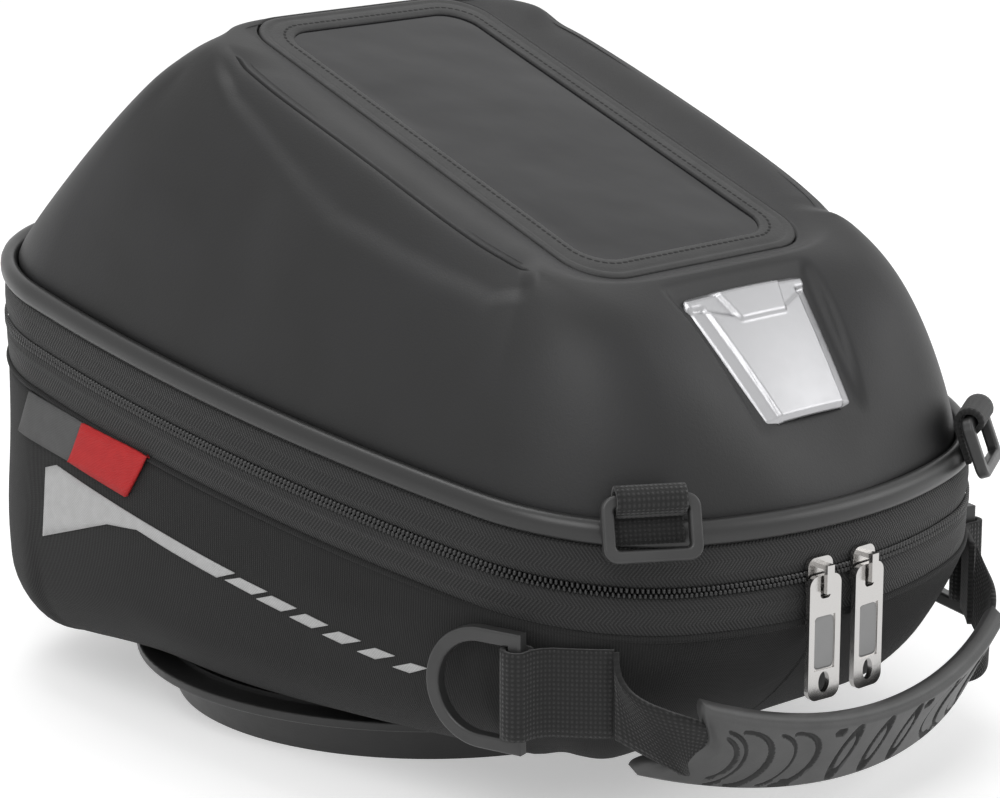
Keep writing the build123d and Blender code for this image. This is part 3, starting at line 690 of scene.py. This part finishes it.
# --- Window ---
def window_loop(grow, lift, count=240):
    """Points round the window's outline, grown by this much and lifted off its plane."""
    size = (WINDOW_W + 2 * grow, WINDOW_L + 2 * grow, WINDOW_RADIUS + grow * 0.5)
    return [to_window(*rect_point(k / count, *size), lift) for k in range(count)]


def window_border():
    """Padded border; its section is (distance out from the window, height)."""
    profile = ((9.0, -1.4), (9.0, -0.1), (8.5, 0.35), (7.6, 0.5), (6.9, 0.34), (6.3, 0.18), (5.7, 0.36),
               (4.0, 0.5), (1.6, 0.5), (0.5, 0.3), (0.0, -0.1), (0.0, -1.2))
    rows = [window_loop(grow, lift) for grow, lift in profile]
    obj = grid("window_frame", rows, BORDER, wrap=True)
    place(obj, "lid", "border_cloth", "window_border")


LOZENGE_POINTS = ((-0.5, 0, 0), (-0.3, 0.5, 0), (0.3, 0.5, 0), (0.5, 0, 0), (0.3, -0.5, 0), (-0.3, -0.5, 0),
                  (-0.28, 0.22, 1), (0.28, 0.22, 1), (0.28, -0.22, 1), (-0.28, -0.22, 1))
LOZENGE_FACES = ((1, 2, 7, 6), (4, 5, 9, 8), (6, 7, 8, 9), (2, 3, 7), (3, 4, 8, 7), (0, 1, 6), (5, 0, 6, 9))


def lozenge(points, faces, centre, along, across, up, length, width, height):
    """A small rounded stitch or tooth, added to the lists."""
    base = len(points)
    for s, w, h in LOZENGE_POINTS:
        points.append(centre + along * (s * length) + across * (w * width) + up * (h * height))
    for face in LOZENGE_FACES:
        faces.append(tuple(base + k for k in face))


def window_stitches():
    """Dark dashes sewn round the border's inner edge."""
    points, faces = [], []
    normal = Vector((0, -SLOPE * COS, COS))
    count = 196
    ring = [Vector(p) for p in window_loop(2.6, 0.5, count)]
    for k, p in enumerate(ring):
        along = (ring[(k + 1) % count] - ring[k - 1]).normalized()
        lozenge(points, faces, p, along, normal.cross(along), normal, 2.0, 0.9, 0.12)
    obj = make("window_stitching", points, faces, STITCH)
    place(obj, "lid", "border_cloth")


def window_film():
    """Clear sheet with slight waves, flat at its edge."""
    rings = 12
    edge = [rect_point(j / 160, WINDOW_W + 2, WINDOW_L + 2, 10.5) for j in range(160)]
    rows = []
    for k in range(rings + 1):
        share = 1 - k / rings
        row = []
        for u, v in [(p[0] * share, p[1] * share) for p in edge]:
            fade = (1 - (1 - share) ** 4) * share if k else 0
            wave = 0.22 * math.sin(u / 13 + v / 31) * math.sin(v / 23 + 0.6) * fade
            row.append(to_window(u, v, -0.55 + wave))
        rows.append(row)
    obj = grid("window_sheet", rows, FILM, wrap=True)
    place(obj, "lid", "clear_film", "window_film")


window_border()
window_stitches()
window_film()


# --- Badge ---
BADGE_H, BADGE_BEVEL, BADGE_CORNER = 21, 5.5, 3.5       # half height, width of the bevel, corner radius


def badge_half(v):
    """Half width of the plate, which narrows towards its foot."""
    return 21.1 + (v / (2 * BADGE_H)) * 6.75


def badge_height(u, v):
    """Crowned plate with bevelled sides, a raised tongue at the top and a fold either side of it."""
    half = badge_half(v)
    edge = min(half - abs(u), BADGE_H - abs(v))
    z = 2.2 - 1.2 * (u / half) ** 2 - 0.5 * (v / BADGE_H) ** 2
    z -= 1.5 * (1 - smooth(edge, 0.0, 1.6))
    tongue = (1 - smooth(abs(u) - 9.5 - (v - 12) * 0.35, -0.7, 0.7)) * smooth(v, 9.6, 11.0)
    z += 0.9 * tongue * smooth(edge, 0.2, 1.4)
    bevel = smooth(abs(u) - half + BADGE_BEVEL, -0.3, 0.5) * smooth(BADGE_H - v, 3.0, 5.0)
    fold = v - 17.5 + (half - abs(u)) * 0.42
    z -= 0.5 * smooth(fold, -0.3, 0.3) * (1 - tongue) * smooth(abs(u), 8.5, 10.5)
    return z - bevel * (1 + 0.8 * (abs(u) - half + BADGE_BEVEL) / BADGE_BEVEL)


def badge_plate():
    points, columns, lines = [], 91, 81
    for r in range(lines):
        v = BADGE_H * (-1 + 2 * r / (lines - 1))
        corner = max(abs(v) - BADGE_H + BADGE_CORNER, 0)
        cut = BADGE_CORNER - math.sqrt(max(BADGE_CORNER ** 2 - corner ** 2, 0))
        for c in range(columns):
            t = -1 + 2 * c / (columns - 1)
            u = badge_half(v) * t - math.copysign(cut, t) * abs(t) ** 6
            points.append(BADGE_PLACE @ Vector((u, v, badge_height(u, v) + 0.6)))
    obj = make("badge_face", points, grid_faces(lines, columns), BADGE)
    thicken(obj, 1.4)
    place(obj, "lid", "badge_metal", "badge_plate")


badge_plate()


# --- Piping, zip tapes and teeth ---
def outline_band(name, profile, steps, wrap, look, thickness=0.0):
    obj = grid(name, band_rows(profile, steps), look, wrap, band_uvs(profile, steps))
    if thickness:
        thicken(obj, thickness)
    return obj


def piping():
    steps = outline_steps(601)[:-1]
    profile = ((4.1, 12.6), (1.0, 12.75), (-0.2, 13.0), (-0.75, 13.7), (-1.0, 14.7), (-1.05, 15.9),
               (-0.9, 17.1), (-0.4, 18.2), (0.5, 19.0), (1.6, 19.35), (2.8, 19.1), (3.7, 18.2), (4.25, 16.8),
               (4.3, 14.0))
    place(outline_band("piping_tube", profile, steps, True, PIPING), "lid", "piping_rubber", "lid_piping")


def tapes():
    steps, _ = zipped_steps(560)
    upper = ((1.3, 1.0), (0.7, 1.5), (0.45, 2.4), (0.3, 3.4), (0.1, 3.9), (0.15, 4.4), (0.0, 6.5),
             (0.1, 9.0), (0.5, 11.4), (1.0, 12.9))
    lower = ((1.0, -12.8), (0.6, -11.6), (0.4, -9.5), (0.2, -6.5), (0.2, -4.4), (0.1, -3.9), (0.3, -3.4),
             (0.45, -2.4), (0.7, -1.5), (1.3, -1.0))
    place(outline_band("tape_upper", upper, steps, False, TAPE, 1.0), "lid", "zip_tape", "zip_tape_upper")
    place(outline_band("tape_lower", lower, steps, False, TAPE, 1.0), "tub", "zip_tape", "zip_tape_lower")


def teeth():
    """Two rows of teeth, set half a pitch apart so that they mesh."""
    _, reach = zipped_steps(2)
    pitch = 1.45
    count = int(2 * reach / pitch)
    for name, body, node, shift, low in (("teeth_upper", "lid", "zip_teeth_upper", 0.0, 0.72),
                                         ("teeth_lower", "tub", "zip_teeth_lower", 0.5, -0.72)):
        points, faces = [], []
        for k in range(count):
            s = -reach + (k + 0.25 + shift) * pitch
            x, y = rim_point(heading_at(s), 0.55)
            nx, ny = outward(heading_at(s))
            out, up = Vector((nx, ny, 0)), Vector((0, 0, 1))
            along = Vector((-ny, nx, SEAM_RISE * nx)).normalized()
            lozenge(points, faces, Vector((x, y, seam(y) + low)), up, along, out, 1.9, 1.05, 0.9)
        place(make(name, points, faces, TEETH), body, "zip_teeth", node)


def tail_gusset():
    """Cloth hinge in place of the zip, sewn to the lid above and the tub below."""
    _, reach = zipped_steps(2)
    steps = outline_steps(61, reach + 0.3, 2 * HALF - reach - 0.3)
    profile = [(0.9 - 0.7 * math.cos(z / 12.8 * math.pi / 2), z) for z in np.linspace(-12.7, 12.7, 33)]
    obj = outline_band("tail_gusset", profile, steps, False, TAPE)
    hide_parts("hinge_gusset_tub", "hinge_gusset_lid")
    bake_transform(obj)


piping()
tapes()
teeth()
tail_gusset()


# --- Tub ---
FLOOR, FOOT_RADIUS = 17.0, 21
WALL_ROWS, FOOT_ROWS = 15, 12


def rake(heading, z):
    """How far the wall comes in towards the foot, at the nose and the front corners."""
    front = smooth(math.cos(math.radians(heading)), -0.25, 0.5)
    return 25.0 * min(max((63.0 - z) / 46.0, 0), 1.0) ** 1.2 * front


def wall_inset(heading, z):
    """Inset of the soft wall, which bulges at mid height along the flanks and the tail."""
    h = math.radians(heading)
    flank = abs(math.sin(h)) ** 2 + max(-math.cos(h), 0) * 0.6
    bulge = 1.7 * math.exp(-((z - 50) / 22) ** 2) * min(flank, 1)
    return 0.5 - bulge + rake(heading, z)


def wall_point(heading, z, out=0.0):
    """Point of the wall; a slanted plane cuts it back below the nose."""
    x, y = rim_point(heading, wall_inset(heading, z) - out)
    plane = NOSE + 0.5 - out + 0.78 * max(64 - z, 0)
    gap = plane - y
    y += max(gap, 0) if abs(gap) > 6 else (gap + 6) ** 2 / 24
    return Vector((x, y, z))


def edge_drop(y):
    """Height added to the foot's edge: it hangs towards the tail and lifts beside the lock ring."""
    return -2.2 * math.exp(-((y - 68) / 16) ** 2) + 3.2 * math.exp(-((y - 22) / 26) ** 2)


def wall_row(steps, share):
    """Points round the wall, at a share of the way from the seam to the foot's curve."""
    row = []
    for _, h in steps:
        low = FLOOR + FOOT_RADIUS + edge_drop(rim_point(h, 4)[1])
        z = seam(rim_point(h, 0.5)[1]) - 12.4
        row.append(wall_point(h, z + (low - z) * share))
    return row


def foot_row(steps, turn, last):
    """Points round the curve that turns the wall under, at an angle from upright."""
    row = []
    for _, h in steps:
        drop = 0.0 if last else edge_drop(rim_point(h, 4)[1]) * math.cos(turn) ** 0.5
        z = FLOOR + drop + FOOT_RADIUS * (1 - math.sin(turn))
        wall = wall_point(h, max(z, FLOOR))
        nx, ny = outward(h)
        front = smooth(math.cos(math.radians(h)), 0.2, 0.9)
        reach = FOOT_RADIUS * (1 - math.cos(turn)) * (1 - 0.5 * front)
        row.append(Vector((wall.x - nx * reach, wall.y - ny * reach, z)))
    return row


def tub_rows(steps):
    """Rows from the middle of the floor out and up to the seam."""
    rows = [wall_row(steps, k / (WALL_ROWS - 1)) for k in range(WALL_ROWS)]
    rows += [foot_row(steps, math.pi / 2 * k / FOOT_ROWS, k == FOOT_ROWS) for k in range(1, FOOT_ROWS + 1)]
    foot = rows[-1]
    for share in (0.8, 0.55, 0.25, 0.02):
        rows.append([Vector((p.x * share, (p.y + 25) * share - 25, FLOOR)) for p in foot])
    return rows[::-1]


def tub_shell():
    steps = outline_steps(481)[:-1]
    rows = tub_rows(steps)
    uvs, runs = [], np.zeros(len(steps))
    for k, row in enumerate(rows):
        if k:
            runs += [(row[j] - rows[k - 1][j]).length for j in range(len(steps))]
        uvs += [(s, runs[j]) for j, (s, _) in enumerate(steps)]
    obj = grid("tub_cloth", rows, CLOTH, True, uvs)
    thicken(obj, 2.0)
    place(obj, "tub", "tub_cloth", "tub_shell")


def tub_seam():
    """Rolled edge where the wall meets the lower tape."""
    steps = outline_steps(481)[:-1]
    turns = np.linspace(-0.2, math.pi + 0.2, 9)
    profile = [(0.5 - 0.75 * math.sin(a), -12.9 - 0.9 * math.cos(a)) for a in turns]
    place(outline_band("tub_seam", profile, steps, True, CLOTH), "tub", "tub_cloth")


tub_shell()
tub_seam()


# --- Patches on the flank ---
FLANK_H = np.linspace(30, 150, 1201)
FLANK_Y = np.array([rim_point(h, 0.5)[1] for h in FLANK_H])


def flank_point(side, y, z, out):
    h = float(np.interp(y, FLANK_Y, FLANK_H))
    p = wall_point(h, z, out)
    return Vector((side * p.x, p.y, p.z))


PATCH_STEP, PATCH_ROWS = 2.0, 7


def patch_columns(ys):
    """Places along a patch, close together and including each of its corners."""
    columns = []
    for a, b in zip(ys, ys[1:]):
        columns += list(np.linspace(a, b, max(2, int((b - a) / PATCH_STEP) + 1))[:-1])
    return columns + [ys[-1]]


def patch(name, side, corner_sets, look, out, thickness, belly=0.0):
    """Thin pieces on the flank, each bounded by corners given as (y, z)."""
    points, faces, rows = [], [], PATCH_ROWS
    for corners in corner_sets:
        ys = sorted({y for y, _ in corners})
        columns = patch_columns(ys)
        base = len(points)
        for y in columns:
            cuts = crossings(corners, min(max(y, ys[0] + 1e-3), ys[-1] - 1e-3))
            for k in range(rows):
                t = k / (rows - 1)
                z = cuts[0] + (cuts[-1] - cuts[0]) * t
                points.append(flank_point(side, y, z, out + belly * math.sin(math.pi * t)))
        for c in range(len(columns) - 1):
            for k in range(rows - 1):
                a = base + c * rows + k
                quad = (a, a + rows, a + rows + 1, a + 1)
                faces.append(quad if side > 0 else quad[::-1])
    obj = make(name, points, faces, look)
    thicken(obj, thickness)
    return obj


def crossings(corners, y):
    """Heights at which an upright line at y crosses the edges between the corners."""
    cuts = []
    for (y0, z0), (y1, z1) in zip(corners, corners[1:] + corners[:1]):
        if (y0 - y) * (y1 - y) <= 0 and y0 != y1:
            cuts.append(z0 + (z1 - z0) * (y - y0) / (y1 - y0))
    return sorted(cuts)


DECAL = [(60, 52), (58, 74), (52, 76), (21, 71), (-35, 62), (-27, 59), (9, 65.5), (24, 64)]
DASHES = [[(-30.3, 59), (-36.7, 61), (-47.8, 59.2), (-41.2, 56.9)],
          [(-42.8, 56), (-49.3, 58.3), (-58.8, 56.5), (-52.4, 54.2)],
          [(-55.4, 53.2), (-61.9, 55.5), (-70.1, 53.8), (-63.6, 51.5)],
          [(-67.2, 50.3), (-73.7, 52.6), (-81.5, 51.4), (-74.2, 48.9)],
          [(-79.2, 47.7), (-86.1, 50.2), (-92.8, 49.2), (-85.4, 46.6)],
          [(-91.1, 45.4), (-97.9, 48), (-103.4, 47.6), (-96.8, 44.7)]]
for side, word in ((-1, "left"), (1, "right")):
    place(patch(f"decal_{word}", side, [DECAL] + DASHES, REFLECT, 0.35, 0.5), "tub", "reflective",
          f"reflector_{word}")
TAB_REAR = [(43, 79), (74, 82), (66, 96), (35.5, 92.5)]
TAB_FRONT = [(13.7, 74.6), (43.4, 79), (35.8, 92.5), (2.8, 89)]
place(patch("tab_grey_end", -1, [TAB_REAR], TAB_GREY, 1.2, 1.0, 0.3), "tub", "tab_cloth", "side_tab")
place(patch("tab_red_end", -1, [TAB_FRONT], TAB_RED, 1.5, 1.2, 0.4), "tub", "tab_cloth")


# --- Webbing ---
WEBBING_THICKNESS = 1.5
RING_HEADING = 31.5     # middle of a lid ring
STRAP_Z = 49.0          # middle of the side straps and D-rings


def ribbon(name, path, across, widths, columns=9):
    """Webbing along a path; across and widths give the direction and size of its width at each point."""
    rows, uvs, run = [], [], 0.0
    for k, (p, side, wide) in enumerate(zip(path, across, widths)):
        if k:
            run += (p - path[k - 1]).length
        row = []
        for c in range(columns):
            t = c / (columns - 1) - 0.5
            row.append(p + side.normalized() * (t * wide))
            uvs.append((run, t * wide))
        rows.append(row)
    obj = grid(name, rows, WEBBING, uvs=uvs)
    thicken(obj, WEBBING_THICKNESS, 0.0)
    return obj


def frame_at(heading, stand, height, facing=None):
    """Matrix of a frame just outside the outline: X along it away from the nose, Y up, Z outward."""
    x, y = rim_point(heading)
    nx, ny = outward(heading)
    f = math.radians(heading if facing is None else facing)
    axis = Vector((math.cos(f), math.sin(f), 0))
    out = Vector((math.sin(f), -math.cos(f), 0))
    m = Matrix((axis, Vector((0, 0, 1)), out)).transposed().to_4x4()
    return Matrix.Translation((x + nx * stand, y + ny * stand, height)) @ m


def mirrored(side, points):
    return [Vector((side * p.x, p.y, p.z)) for p in points]


def ring_loop(side, word):
    """Webbing folded over the lid ring's upper bar and tucked behind the piping."""
    height = seam(rim_point(RING_HEADING)[1]) + 19.5
    place_ring = frame_at(RING_HEADING, 4.0, height) @ Matrix.Rotation(math.radians(-20), 4, "X")
    turn = [(7.3 + 3.6 * math.sin(a), -3.6 * math.cos(a)) for a in np.linspace(0, math.pi + 0.5, 15)]
    local = [(-4.0, -3.65), (1.6, -3.65)] + turn + [(3.6, -0.6)]
    path = mirrored(side, [place_ring @ Vector((0, y, z)) for y, z in local])
    h = math.radians(RING_HEADING)
    across = [Vector((side * math.cos(h), math.sin(h), 0))] * len(path)
    obj = ribbon(f"ring_webbing_{word}", path, across, [19.0] * len(path))
    place(obj, "lid", "webbing", f"ring_loop_{word}")


def side_strap(side, word):
    """Webbing wrapped round the D-ring's bar, then sewn along the wall towards the nose."""
    bar = frame_at(63.0, 5.2, STRAP_Z, 74.6)
    wrap = [bar @ Vector((3.9 * math.cos(a), 0, 3.9 * math.sin(a))) for a in np.linspace(-2.3, 2.5, 22)]
    stands = ((59.5, 4.6), (57.5, 2.6), (55, 1.6), (50.5, 1.4), (46, 1.4), (43, 1.5), (40, 1.7))
    tail = [frame_at(h, stand, STRAP_Z).to_translation() for h, stand in stands]
    path = mirrored(side, wrap + tail)
    obj = ribbon(f"strap_webbing_{word}", path, [Vector((0, 0, 1))] * len(path), [24.6] * len(path))
    place(obj, "tub", "webbing", f"side_strap_{word}")


GRIP_PLACE = Matrix.Translation((0, -184.5, 25)) @ Matrix.Rotation(math.radians(30), 4, "X")
GRIP_RADIUS, GRIP_DEPTH = 125, 6.0


def grip_curve(x, depth=0.0):
    """Bow of the grip: how far it lies behind the middle of its face, at a place and depth in it."""
    return GRIP_RADIUS - math.sqrt((GRIP_RADIUS - depth) ** 2 - x * x)


def handle_webbing(side, word):
    """Webbing that leaves the side strap's end, twists, and narrows into the grip's notch."""
    start = frame_at(39.5, 3.0, STRAP_Z).to_translation()
    end = GRIP_PLACE @ Vector((54.0, grip_curve(54.0, 3.0), 0.5))
    up = GRIP_PLACE.to_3x3() @ Vector((0, 0, 1))
    path, across, widths = [], [], []
    for k in range(25):
        t = k / 24
        arch = math.sin(math.pi * t)
        path.append(start.lerp(end, t) + Vector((4.0, -3.0, -2.0)) * arch)
        across.append(Vector((0, 0, 1)).lerp(up, smooth(t, 0, 1)) + Vector((0.5, 0.6, 0)) * arch * 0.8)
        widths.append(24.4 - 7.0 * smooth(t, 0.45, 1.0))
    path, across = mirrored(side, path), mirrored(side, across)
    obj = ribbon(f"handle_strap_{word}", path, across, widths)
    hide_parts(f"handle_webbing_{word}")
    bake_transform(obj)


for side, word in ((-1, "left"), (1, "right")):
    ring_loop(side, word)
    side_strap(side, word)
    handle_webbing(side, word)


# --- Handle grip ---
GRIP_NOTCH = 55.0       # half the grip's length at the foot of the notch
GRIP_COLUMNS, GRIP_LINES = 421, 66


def groove(distance, width=0.7):
    """Depth share of an engraved line, from the distance to its centre."""
    return 1 - smooth(abs(distance), width * 0.5, width * 1.1)


def engraving(x, z):
    """Engraved eyes, crescents and small triangles, the same on both halves."""
    depth = 0.0
    for eye in (-12.2, 0.0, 12.2):
        e = math.hypot((x - eye - 0.10 * z) / 2.3, z / 8.6)
        depth = max(depth, groove((e - 1) * 2.4))
    ax = abs(x)
    for inner, radius in ((22.5, 10.4), (37.5, 10.8)):
        middle = inner + radius
        outer = math.hypot(ax - middle, z * 1.02) - radius
        hollow = math.hypot(ax - middle - 7.5, z * 1.02) - radius
        depth = max(depth, groove(outer, 0.8) * (1 - smooth(ax, middle - 0.8, middle + 1.5)))
        depth = max(depth, 0.85 * groove(hollow, 0.6) * (1 - smooth(ax, middle + 3, middle + 6)))
        if outer < 0 < hollow and ax < middle:
            depth = max(depth, 0.35)
    small = math.hypot(ax - 56.0, z) - 8.4
    depth = max(depth, 0.7 * groove(small) * (1 - smooth(ax, 51.0, 54.0)))
    for cx, cz in ((18.0, 9.0), (29.0, -9.6)):
        inside = min(2.2 - abs(ax - cx) - 0.5 * abs(z - cz), 1.6 - abs(z - cz))
        depth = max(depth, smooth(inside, 0.0, 0.5) * 0.9)
    return depth


def grip_edge(x):
    """Lower and upper edge of the grip's face."""
    return -11.3 - 1.2 * (1 - (x / 68) ** 2), 12.5 + 4.0 * (x / 60) ** 2


def grip_end(v):
    """Half the grip's length at a height from -1 to 1: a notch, with a prong above and below it."""
    return GRIP_NOTCH + (5.0 * smooth(v, 0.08, 0.95) if v > 0.08 else 13.0 * smooth(-v, -0.08, 0.95))


def grip_points():
    """Points of the grip's front and back, with the depth of the engraving at each front point."""
    front, back, cuts = [], [], []
    for r in range(GRIP_LINES):
        v = -1 + 2 * r / (GRIP_LINES - 1)
        for c in range(GRIP_COLUMNS):
            x = grip_end(v) * (-1 + 2 * c / (GRIP_COLUMNS - 1))
            low, high = grip_edge(x)
            z = low + (high - low) * (v + 1) / 2
            rim = min(z - low, high - z, (grip_end(v) - abs(x)) * 0.8)
            rolled = 1.7 * (1 - smooth(rim, 0.0, 2.0)) ** 1.5
            cut = 1.1 * engraving(x, z) * smooth(rim, 1.6, 2.2)
            cuts.append(cut)
            front.append(GRIP_PLACE @ Vector((x, grip_curve(x) + rolled + cut, z)))
            back.append(GRIP_PLACE @ Vector((x, grip_curve(x, GRIP_DEPTH) - rolled * 0.8, z)))
    return front, back, cuts


def grip_border():
    """Numbers of the points round the grip's edge, in order."""
    columns, lines = GRIP_COLUMNS, GRIP_LINES
    border = list(range(columns)) + [r * columns + columns - 1 for r in range(1, lines)]
    border += [(lines - 1) * columns + c for c in range(columns - 2, -1, -1)]
    return border + [r * columns for r in range(lines - 2, 0, -1)]


def handle_grip():
    """Moulded grip whose engraved lines carry a darker material."""
    front, back, cuts = grip_points()
    shift = len(front)
    faces = grid_faces(GRIP_LINES, GRIP_COLUMNS)
    faces += [tuple(shift + k for k in face[::-1]) for face in faces]
    border = grip_border()
    for a, b in zip(border, border[1:] + border[:1]):
        faces.append((b, a, a + shift, b + shift))
    obj = make("grip_moulding", front + back, faces, GRIP)
    obj.data.materials.append(CUT)
    for face in obj.data.polygons:
        if max(cuts[k] if k < shift else 0.0 for k in face.vertices) > 0.42:
            face.material_index = 1
    place(obj, "handle", "grip_rubber", "handle_grip")


def squarish(count, power=0.28):
    """Points round a square of half size 1 with rounded corners."""
    turns = [2 * math.pi * k / count for k in range(count)]
    return [tuple(math.copysign(abs(c) ** power, c) for c in (math.cos(a), math.sin(a))) for a in turns]


def pull_panel(word, heading):
    """Brushed panel in the recess on the front of a zip pull."""
    front = frame_at(heading, 3.75, seam(rim_point(heading)[1]) - 18.35)
    count = 48
    points = [front @ Vector((3.55 * u * t, 7.5 * v * t, lift))
              for t, lift in ((1.0, -0.34), (0.93, -0.2), (0.5, -0.2)) for u, v in squarish(count)]
    faces = grid_faces(3, count, wrap=True) + [tuple(range(2 * count, 3 * count))]
    obj = make(f"pull_panel_{word}", points, faces, PANEL, shade=False)
    thicken(obj, 0.2)
    place(obj, f"pull_{word}", "plated_steel")


handle_grip()
for word, heading in (("left", -4.6), ("right", 1.2)):
    pull_panel(word, heading)
    for node in (f"zip_pull_{word}", f"zip_slider_{word}"):
        soften(frame["nodes"][node], 0.3)


# --- Floor, light and world ---
FLOOR_GLOW, WORLD_LIGHT = 0.42, 0.55


def seen(m):
    """1 for rays that show the surroundings: the camera's, and those reflected or refracted."""
    path = m.add("ShaderNodeLightPath")
    both = m.math("MAXIMUM", path.outputs["Is Glossy Ray"], path.outputs["Is Transmission Ray"])
    return m.math("MAXIMUM", path.outputs["Is Camera Ray"], both)


def floor():
    """White floor that shows as white and still takes shadows."""
    m = Nodes("floor_white", (0.86, 0.86, 0.86), 1.0, spec=0.0)
    glow = m.add("ShaderNodeEmission")
    m.link(m.math("MULTIPLY", seen(m), FLOOR_GLOW), glow.inputs["Strength"])
    total = m.add("ShaderNodeAddShader")
    m.link(m.shader.outputs[0], total.inputs[0])
    m.link(glow.outputs[0], total.inputs[1])
    m.link(total.outputs[0], m.tree.nodes["Material Output"].inputs["Surface"])
    places = np.linspace(-4000.0, 4000.0, 9)
    grid("floor", [[(x, y, 0.0) for x in places] for y in places], m.material)


def world():
    """White surroundings, dimmer as a light on the bag than as a background or a reflection."""
    scene = bpy.context.scene
    scene.world = bpy.data.worlds.new("studio")
    scene.world.use_nodes = True
    tree = scene.world.node_tree
    back = tree.nodes["Background"]
    back.inputs["Color"].default_value = (1, 1, 1, 1)
    path = tree.nodes.new("ShaderNodeLightPath")
    top = tree.nodes.new("ShaderNodeMath")
    top.operation = "MAXIMUM"
    glass = tree.nodes.new("ShaderNodeMath")
    glass.operation = "MAXIMUM"
    tree.links.new(path.outputs["Is Glossy Ray"], glass.inputs[0])
    tree.links.new(path.outputs["Is Transmission Ray"], glass.inputs[1])
    tree.links.new(path.outputs["Is Camera Ray"], top.inputs[0])
    tree.links.new(glass.outputs[0], top.inputs[1])
    level = tree.nodes.new("ShaderNodeMapRange")
    level.inputs["To Min"].default_value = WORLD_LIGHT
    level.inputs["To Max"].default_value = 1.0
    tree.links.new(top.outputs[0], level.inputs[0])
    tree.links.new(level.outputs[0], back.inputs["Strength"])


def lamp(name, place_at, target, size, power):
    """Square lamp of this size in metres and power in watts, facing the target."""
    data = bpy.data.lights.new(name, "AREA")
    data.shape = "SQUARE"
    data.size = size
    data.energy = power
    obj = bpy.data.objects.new(name, data)
    obj.location = place_at
    obj.rotation_euler = (Vector(target) - Vector(place_at)).to_track_quat("-Z", "Y").to_euler()
    bpy.context.scene.collection.objects.link(obj)


floor()
world()
lamp("key", (-1.2, -0.9, 1.5), (0, -0.03, 0.1), 1.1, 13)
lamp("fill", (1.3, -1.1, 0.9), (0, -0.05, 0.1), 0.9, 6)
lamp("top", (0.1, 0.5, 1.8), (0, 0, 0.1), 0.8, 7)
bpy.context.scene.view_settings.view_transform = "Standard"
